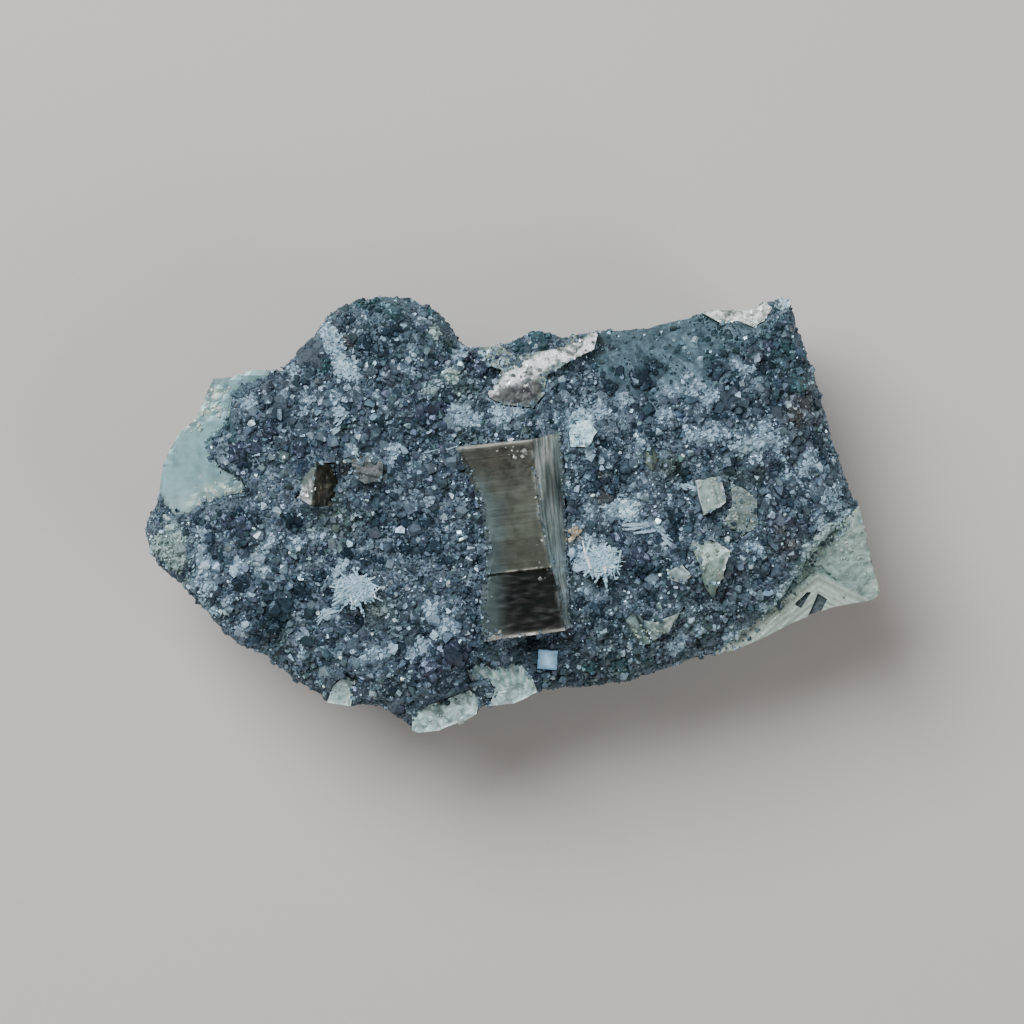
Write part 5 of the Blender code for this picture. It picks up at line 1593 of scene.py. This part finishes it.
class SPECIMEN_OT_small_crystals(Operator):
    """Models the small pyrite crystals, the tan block and the pale cube that stand in the crust"""

    bl_idname = "specimen.small_crystals"
    bl_label = "Small Crystals"

    # Node, piece, colours of its faces and edges, ways its edges face the light and are painted brightest,
    # way across its growth lines and their spacing. The edge colour is a painted highlight where paler than
    # the face, painted shade where darker.
    PIECES = (
        ("square_pyrite_crystal", "square_crystal", "A8C4BA", "ECFBFA", ((-1, 0), (1, 0)), (1.0, 0.3), 0.5),
        ("dull_pyrite_crystal", "dull_crystal", "91A5A1", "A2B4AE", (), (0.3, 1.0), 0.6),
        ("wedge_pyrite_crystal", "wedge_crystal", "7C9389", "E8FAF6", ((1, 0.1),), (1.0, -0.25), 0.45),
        ("small_square_pyrite_crystal", "small_square_crystal", "A4BDB8", "DDE9E3", (), (0.6, 1.0), 0.5),
        ("forked_pyrite_crystal", "forked_crystal", "7E9490", "C2D2C8", ((0.7, 0.7),), (0.7, 0.72), 0.4),
        ("spike_pyrite_crystal", "spike_crystal", "9FB09A", "DDE8D4", ((-1, 0),), (1.0, 0.1), 0.4),
        ("tan_block_crystal", "tan_block", "3B4547", "56625F", (), (0.2, 1.0), 0.7),
        ("pale_blue_cube_crystal", "pale_blue_cube", "A2CCE6", "5684A6", (), (1.0, 0.07), 0.6),
    )
    SLOTS = {"tan_block_crystal": "tan_crystal", "pale_blue_cube_crystal": "blue_crystal"}
    CRACK = ((15.8, -12.2), (0.859, 0.512))  # a point of the forked crystal's crack, and the way across it

    def execute(self, context):
        rng = np.random.default_rng(35)
        for node, name, face, edge, lit, way, spacing in self.PIECES:
            made = copy_of(node, name)
            edges = sharp_edges(made, 0.4)
            way = Vector((*way, 0)).normalized()
            reach = sorted(Vector(corner) @ way for corner in corners_of(made))
            places, heights = growth_profile(reach[0], reach[-1], spacing, 0.045, rng)
            edit(made)
            for place in places:
                cut_across(way * place, way)
            start, across = (np.array([*part, 0.0]) for part in self.CRACK)
            for shift in (-0.3, -0.12, 0.12, 0.3) if name == "forked_crystal" else ():
                cut_across(start + shift * across, across)
            close_edit()
            grid_cut(made, 0.35, rng)
            rows = corners_of(made)
            low, high = (corner.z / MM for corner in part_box(node))
            top = rows[:, 2] > low + 0.4 * (high - low)
            lift = np.interp(rows @ np.array(way), places, heights) + 0.06 * noise_at(rows, 0.8, 1)
            glow = near_edge(rows, edges, 0.65 if node in self.SLOTS else 0.4)
            rows[:, 2] += top * (lift - 0.1 * glow * (0.6 + noise_at(rows, 0.6, 2)))
            depth = 0.08 if node in self.SLOTS else 0.24
            rows = chipped(rows, near_edge(rows, edges, 0.7) * top, depth, 5)
            move_corners(made, rows)
            tone = 1 + 0.2 * noise_at(rows, 0.9, 3) + 0.25 * noise_at(rows, 0.4, 6)
            tone *= np.interp(rows @ np.array(way), places, rng.uniform(0.55, 1.25, len(places)))
            # Painted highlights: the edge colour is laid along sharp edges, strongest on the sides that face
            # the light.
            off = (rows[:, :2] - rows[:, :2].mean(axis=0)) / np.ptp(rows[:, :2], axis=0) * 2
            facing_light = np.max([ramp(off @ np.array(side), 0.1, 0.6) for side in lit], axis=0) if lit else 0.8
            face = np.array(linear(face))
            tints = washed(face * tone[:, None], (edge, 0.95 * glow * facing_light))
            tints = blended(tints, face * 0.4, 0.6 * patchy(rows, 0.8, 4, 0.1, 0.4))
            # Painted shade: faces turned away from up get a darker copy of the face colour.
            tints = blended(tints, face * 0.45, 0.7 * (1 - ramp(corner_normals(made)[:, 2], 0.1, 0.5)))
            if name == "forked_crystal":
                beside = np.abs((rows - start) @ across)
                tints = washed(tints, ("1E262A", 0.85 * (1 - ramp(beside, 0.12, 0.3))))
            paint(made, tints)
            finish = pyrite_finish(name, 0.0 if node in self.SLOTS else 0.35, 0.38, 0.5)
            finish_piece(made, finish, self.SLOTS.get(node, "pale_pyrite"), node)
        return {"FINISHED"}


class SPECIMEN_OT_ridged_crystal(Operator):
    """Models the small crystal whose two faces meet in a ridge, the left painted bright as if lit, the right
    painted dark as if in shade
    """

    bl_idname = "specimen.ridged_crystal"
    bl_label = "Ridged Crystal"

    RIDGE = ((-26.0, 6.7), (-26.8, 1.0))
    TOP_FACE = 26  # what is higher than this is its upper surface

    def execute(self, context):
        pyrite = context.scene.specimen_pyrite
        rng = np.random.default_rng(36)
        made = copy_of("ridged_pyrite_crystal", "ridged_crystal")
        sharp_edges(made)
        grid_cut(made, 0.3, rng)
        rows = corners_of(made)
        (top_x, top_y), (low_x, low_y) = self.RIDGE
        ridge = low_x + (rows[:, 1] - low_y) / (top_y - low_y) * (top_x - low_x)
        right = ramp(rows[:, 0] - ridge, -0.05, 0.3)
        rows[:, 2] -= (rows[:, 2] > self.TOP_FACE) * np.clip(0.1 + 0.14 * noise_at(rows, 0.7, 1), 0, 1)
        move_corners(made, rows)
        # Painted light and shade: the left face is painted bright as if lit, fading by noise and towards the
        # top, and the right face is painted dark as if in shade.
        lit = ramp(noise_at(rows, 0.8, 2) - 0.12 * (rows[:, 1] - 3), -0.1, 0.55)
        bright = blended(linear("84928A"), pyrite.bright, lit)
        dark = blended(linear("2A2C24"), linear("4C4A3C"), patchy(rows, 0.9, 3, -0.2, 0.4))
        paint(made, blended(bright, dark, right))
        finish = pyrite_finish("ridged pyrite", 0.5, 0.35, 0.6)
        finish_piece(made, finish, "bright_pyrite", "ridged_pyrite_crystal")
        return {"FINISHED"}


class SPECIMEN_OT_white_crystals(Operator):
    """Models the white sprays, needle by needle, and the white lump"""

    bl_idname = "specimen.white_crystals"
    bl_label = "White Crystals"

    # Node, piece, centre, and arms as an angle in degrees and a length.
    SPRAYS = (
        ("right_white_spray", "right_spray", (11.9, -6.6, 29.6),
         ((12, 2.7), (40, 2.4), (75, 2.9), (105, 2.9), (122, 4.6), (135, 3.6), (165, 3.4), (180, 4.0),
          (195, 3.4), (225, 2.8), (255, 3.0), (284, 4.2), (318, 3.1), (345, 2.4))),
        ("left_white_spray", "left_spray", (-20.8, -10.4, 29.4),
         ((15, 3.4), (30, 4.0), (48, 2.4), (85, 2.2), (118, 3.6), (130, 3.4), (160, 2.7), (198, 3.6),
          (215, 4.6), (232, 3.0), (262, 2.0), (296, 3.2), (312, 3.6), (335, 2.6))),
    )

    BRIGHT_WAY = 284  # the angle that the brightest blades point at, in degrees

    def execute(self, context):
        white = context.scene.specimen_white
        rng = np.random.default_rng(37)
        finish = white_finish()
        bodies = []
        for node, name, centre, arms in self.SPRAYS:
            made = self.needles(name, centre, arms, white, rng)
            star = copy_of(node, name + "_base")
            subdivide(star, 2)
            rows = corners_of(star)
            rows[:, :2] = centre[:2] + (rows[:, :2] - centre[:2]) * 0.92
            rows[:, 2] -= 0.4 + 0.35 * noise_at(rows, 0.5, 1)
            move_corners(star, rows)
            bodies.append(triangles_of(star))
            low = 1 - ramp(corner_normals(star)[:, 2], 0.0, 0.6)
            paint(star, blended(np.array(white.white) * 0.9, context.scene.specimen_crust.slate, 0.8 * low))
            pick(made)
            star.select_set(True)
            bpy.ops.object.join()
            finish_piece(made, finish, "white_crystal", node)
        self.lump(white, finish)
        self.crumbs(bodies, white, finish, rng)
        return {"FINISHED"}

    def needles(self, name, centre, arms, white, rng):
        """Needles that fan out from a centre, many of them short, the long ones gathered along the arms."""
        count = 2 * white.needles
        arm = np.arange(count) % len(arms)
        angles, reaches = (np.array(part)[arm] for part in zip(*arms))
        short = (rng.random(count) < 0.55) & (np.arange(count) >= 2 * len(arms))
        turn = np.radians(np.where(short, rng.uniform(0, 360, count), angles + rng.normal(0, 6, count)))
        rise = np.abs(rng.normal(0, 0.3, count))
        reach = np.where(short, rng.uniform(1.2, 3.2, count), reaches * rng.uniform(0.5, 1.0, count))
        reach *= 1 - 0.7 * rise.clip(0, 1)
        up = np.stack([np.cos(turn) * np.cos(rise), np.sin(turn) * np.cos(rise), np.sin(rise)], axis=1)
        axes = standing(up, 0.02, rng)
        roots = np.array(centre) + rng.normal(0, 0.75, (count, 3)) * np.array([1.2, 0.8, 0.15])
        width = white.needle_width / MM / 2 * rng.uniform(0.5, 1.4, count)
        sizes = np.stack([width, width, reach], axis=1)
        tints = np.array(white.white) * rng.uniform(0.7, 1.1, (count, 1))
        blades = np.arange(count) < 2 * len(arms)
        sizes[blades, :2] = (0.3, 0.13)
        bright = np.argsort(np.abs(turn - math.radians(self.BRIGHT_WAY)) + 10 * short)[:6]
        tints[bright] = linear("F4FBFF")
        sizes[bright, :2] *= 1.3
        return joined(name, [needle_shape()], roots, axes, sizes, tints, np.zeros(count, int))

    def crumbs(self, bodies, white, finish, rng):
        """White crumbs and short needles over the white lump and the sprays' bodies."""
        surfaces = [triangles_of(bpy.data.objects["white_lump"])] + bodies
        found = [
            scattered(surface, spacing, rng, lambda p, n: n[:, 2] > 0.1)
            for surface, spacing in zip(surfaces, (0.42, 0.3, 0.3))
        ]
        points, normals = gathered(found)
        count = len(points)
        shapes = crumb_shapes() + [needle_shape()]
        kinds = rng.integers(len(shapes), size=count)
        spread = uneven(count, 0.3, rng) * 0.2
        sizes = spread[:, None] * rng.uniform(0.7, 1.25, (count, 3))
        needles = kinds == len(shapes) - 1
        sizes[needles] = (spread[:, None] * [1, 1, 5])[needles] * 0.5
        tints = np.array(white.white) * rng.uniform(0.85, 1.15, (count, 1))
        axes = standing(normals, 0.9, rng)
        made = joined("white_crumbs", shapes, points, axes, sizes, tints, kinds)
        finish_piece(made, finish, "white_crystal")

    def lump(self, white, finish):
        """The white lump, with a crumbly surface."""
        made = copy_of("white_lump_crystal", "white_lump")
        sharp_edges(made)
        subdivide(made, 3)
        rows = corners_of(made)
        normals = corner_normals(made)
        rows -= normals * (0.03 + 0.28 * cells_at(rows, 0.9, 1) + 0.1 * noise_at(rows, 0.4, 2))[:, None]
        move_corners(made, rows)
        tone = 1.35 + 0.3 * noise_at(rows, 1.0, 3)
        paint(made, np.array(white.white) * tone[:, None])
        finish_piece(made, finish, "white_crystal", "white_lump_crystal")


# The stage


class SPECIMEN_OT_stage(Operator):
    """Sets the floor, the lamps and the camera"""

    bl_idname = "specimen.stage"
    bl_label = "Stage"

    def execute(self, context):
        stage = context.scene.specimen_stage
        self.floor(stage)
        self.lamp("key_lamp", (-0.36, 0.43, 0.7), 0.55, stage.key_power)
        self.lamp("fill_lamp", (0.65, -0.35, 0.5), 0.5, stage.fill_power)
        world = context.scene.world or bpy.data.worlds.new("studio")
        context.scene.world = world
        world.use_nodes = True
        sky = world.node_tree.nodes["Background"]
        sky.inputs["Color"].default_value = (*stage.sky, 1.0)
        sky.inputs["Strength"].default_value = stage.sky_strength
        camera = bpy.data.objects.new("camera", bpy.data.cameras.new("camera"))
        context.scene.collection.objects.link(camera)
        camera.location = (0.14 * MM, 0.07 * MM, stage.camera_height)
        camera.data.lens = 150
        camera.data.sensor_width = 36
        camera.data.clip_start = 0.05
        camera.data.clip_end = 20
        context.scene.camera = camera
        return {"FINISHED"}

    def floor(self, stage):
        """A wide round floor that turns up into a wall all round."""
        start_shape(bpy.ops.mesh.primitive_circle_add, vertices=96, radius=1.6, fill_type="NGON")
        floor = bpy.context.active_object
        floor.name = "floor"
        bpy.ops.mesh.select_mode(type="EDGE")
        for growth, rise in ((1.02, 0.0), (1.12, 0.02), (1.08, 0.08), (1.05, 0.2), (1.0, 0.9)):
            bpy.ops.mesh.extrude_region_move(TRANSFORM_OT_translate={"value": (0, 0, rise)})
            bpy.ops.transform.resize(value=(growth, growth, 1))
        close_edit()
        bpy.ops.object.shade_smooth()
        made, _, shader, _ = new_finish("painted floor")
        shader.inputs["Base Color"].default_value = (*stage.floor, 1.0)
        shader.inputs["Roughness"].default_value = 0.9
        floor.data.materials.append(made)

    def lamp(self, name, place, side, power):
        made = bpy.data.objects.new(name, bpy.data.lights.new(name, "AREA"))
        bpy.context.scene.collection.objects.link(made)
        made.data.size = side
        made.data.energy = power
        made.data.color = linear("F4F6FC")
        made.location = place
        made.rotation_euler = (-Vector(place)).to_track_quat("-Z", "Y").to_euler()


class SPECIMEN_PT_panel(Panel):
    """Lists the specimen's settings and steps"""

    bl_idname = "SPECIMEN_PT_panel"
    bl_label = "Pyrite Specimen"
    bl_space_type = "VIEW_3D"
    bl_region_type = "UI"
    bl_category = "Specimen"

    def draw(self, context):
        for name, group in SETTINGS.items():
            settings = getattr(context.scene, name)
            box = self.layout.box()
            for field in group.__annotations__:
                box.prop(settings, field)
        for step in STEPS:
            self.layout.operator(step.bl_idname)


STEPS = (
    SPECIMEN_OT_crust_rock,
    SPECIMEN_OT_crust_crystals,
    SPECIMEN_OT_dusting,
    SPECIMEN_OT_striated_crystal,
    SPECIMEN_OT_smooth_left_crystal,
    SPECIMEN_OT_chevron_crystal,
    SPECIMEN_OT_ridged_crystal,
    SPECIMEN_OT_small_crystals,
    SPECIMEN_OT_broken_crystals,
    SPECIMEN_OT_white_crystals,
    SPECIMEN_OT_border_grains,
    SPECIMEN_OT_stage,
)
CLASSES = (*SETTINGS.values(), *STEPS, SPECIMEN_PT_panel)


def register():
    for made in CLASSES:
        bpy.utils.register_class(made)
    for name, group in SETTINGS.items():
        setattr(bpy.types.Scene, name, PointerProperty(type=group))


def unregister():
    for name in SETTINGS:
        delattr(bpy.types.Scene, name)
    for made in reversed(CLASSES):
        bpy.utils.unregister_class(made)


def main():
    register()
    for step in STEPS:
        group, call = step.bl_idname.split(".")
        getattr(getattr(bpy.ops, group), call)()


if __name__ == "__main__":
    main()
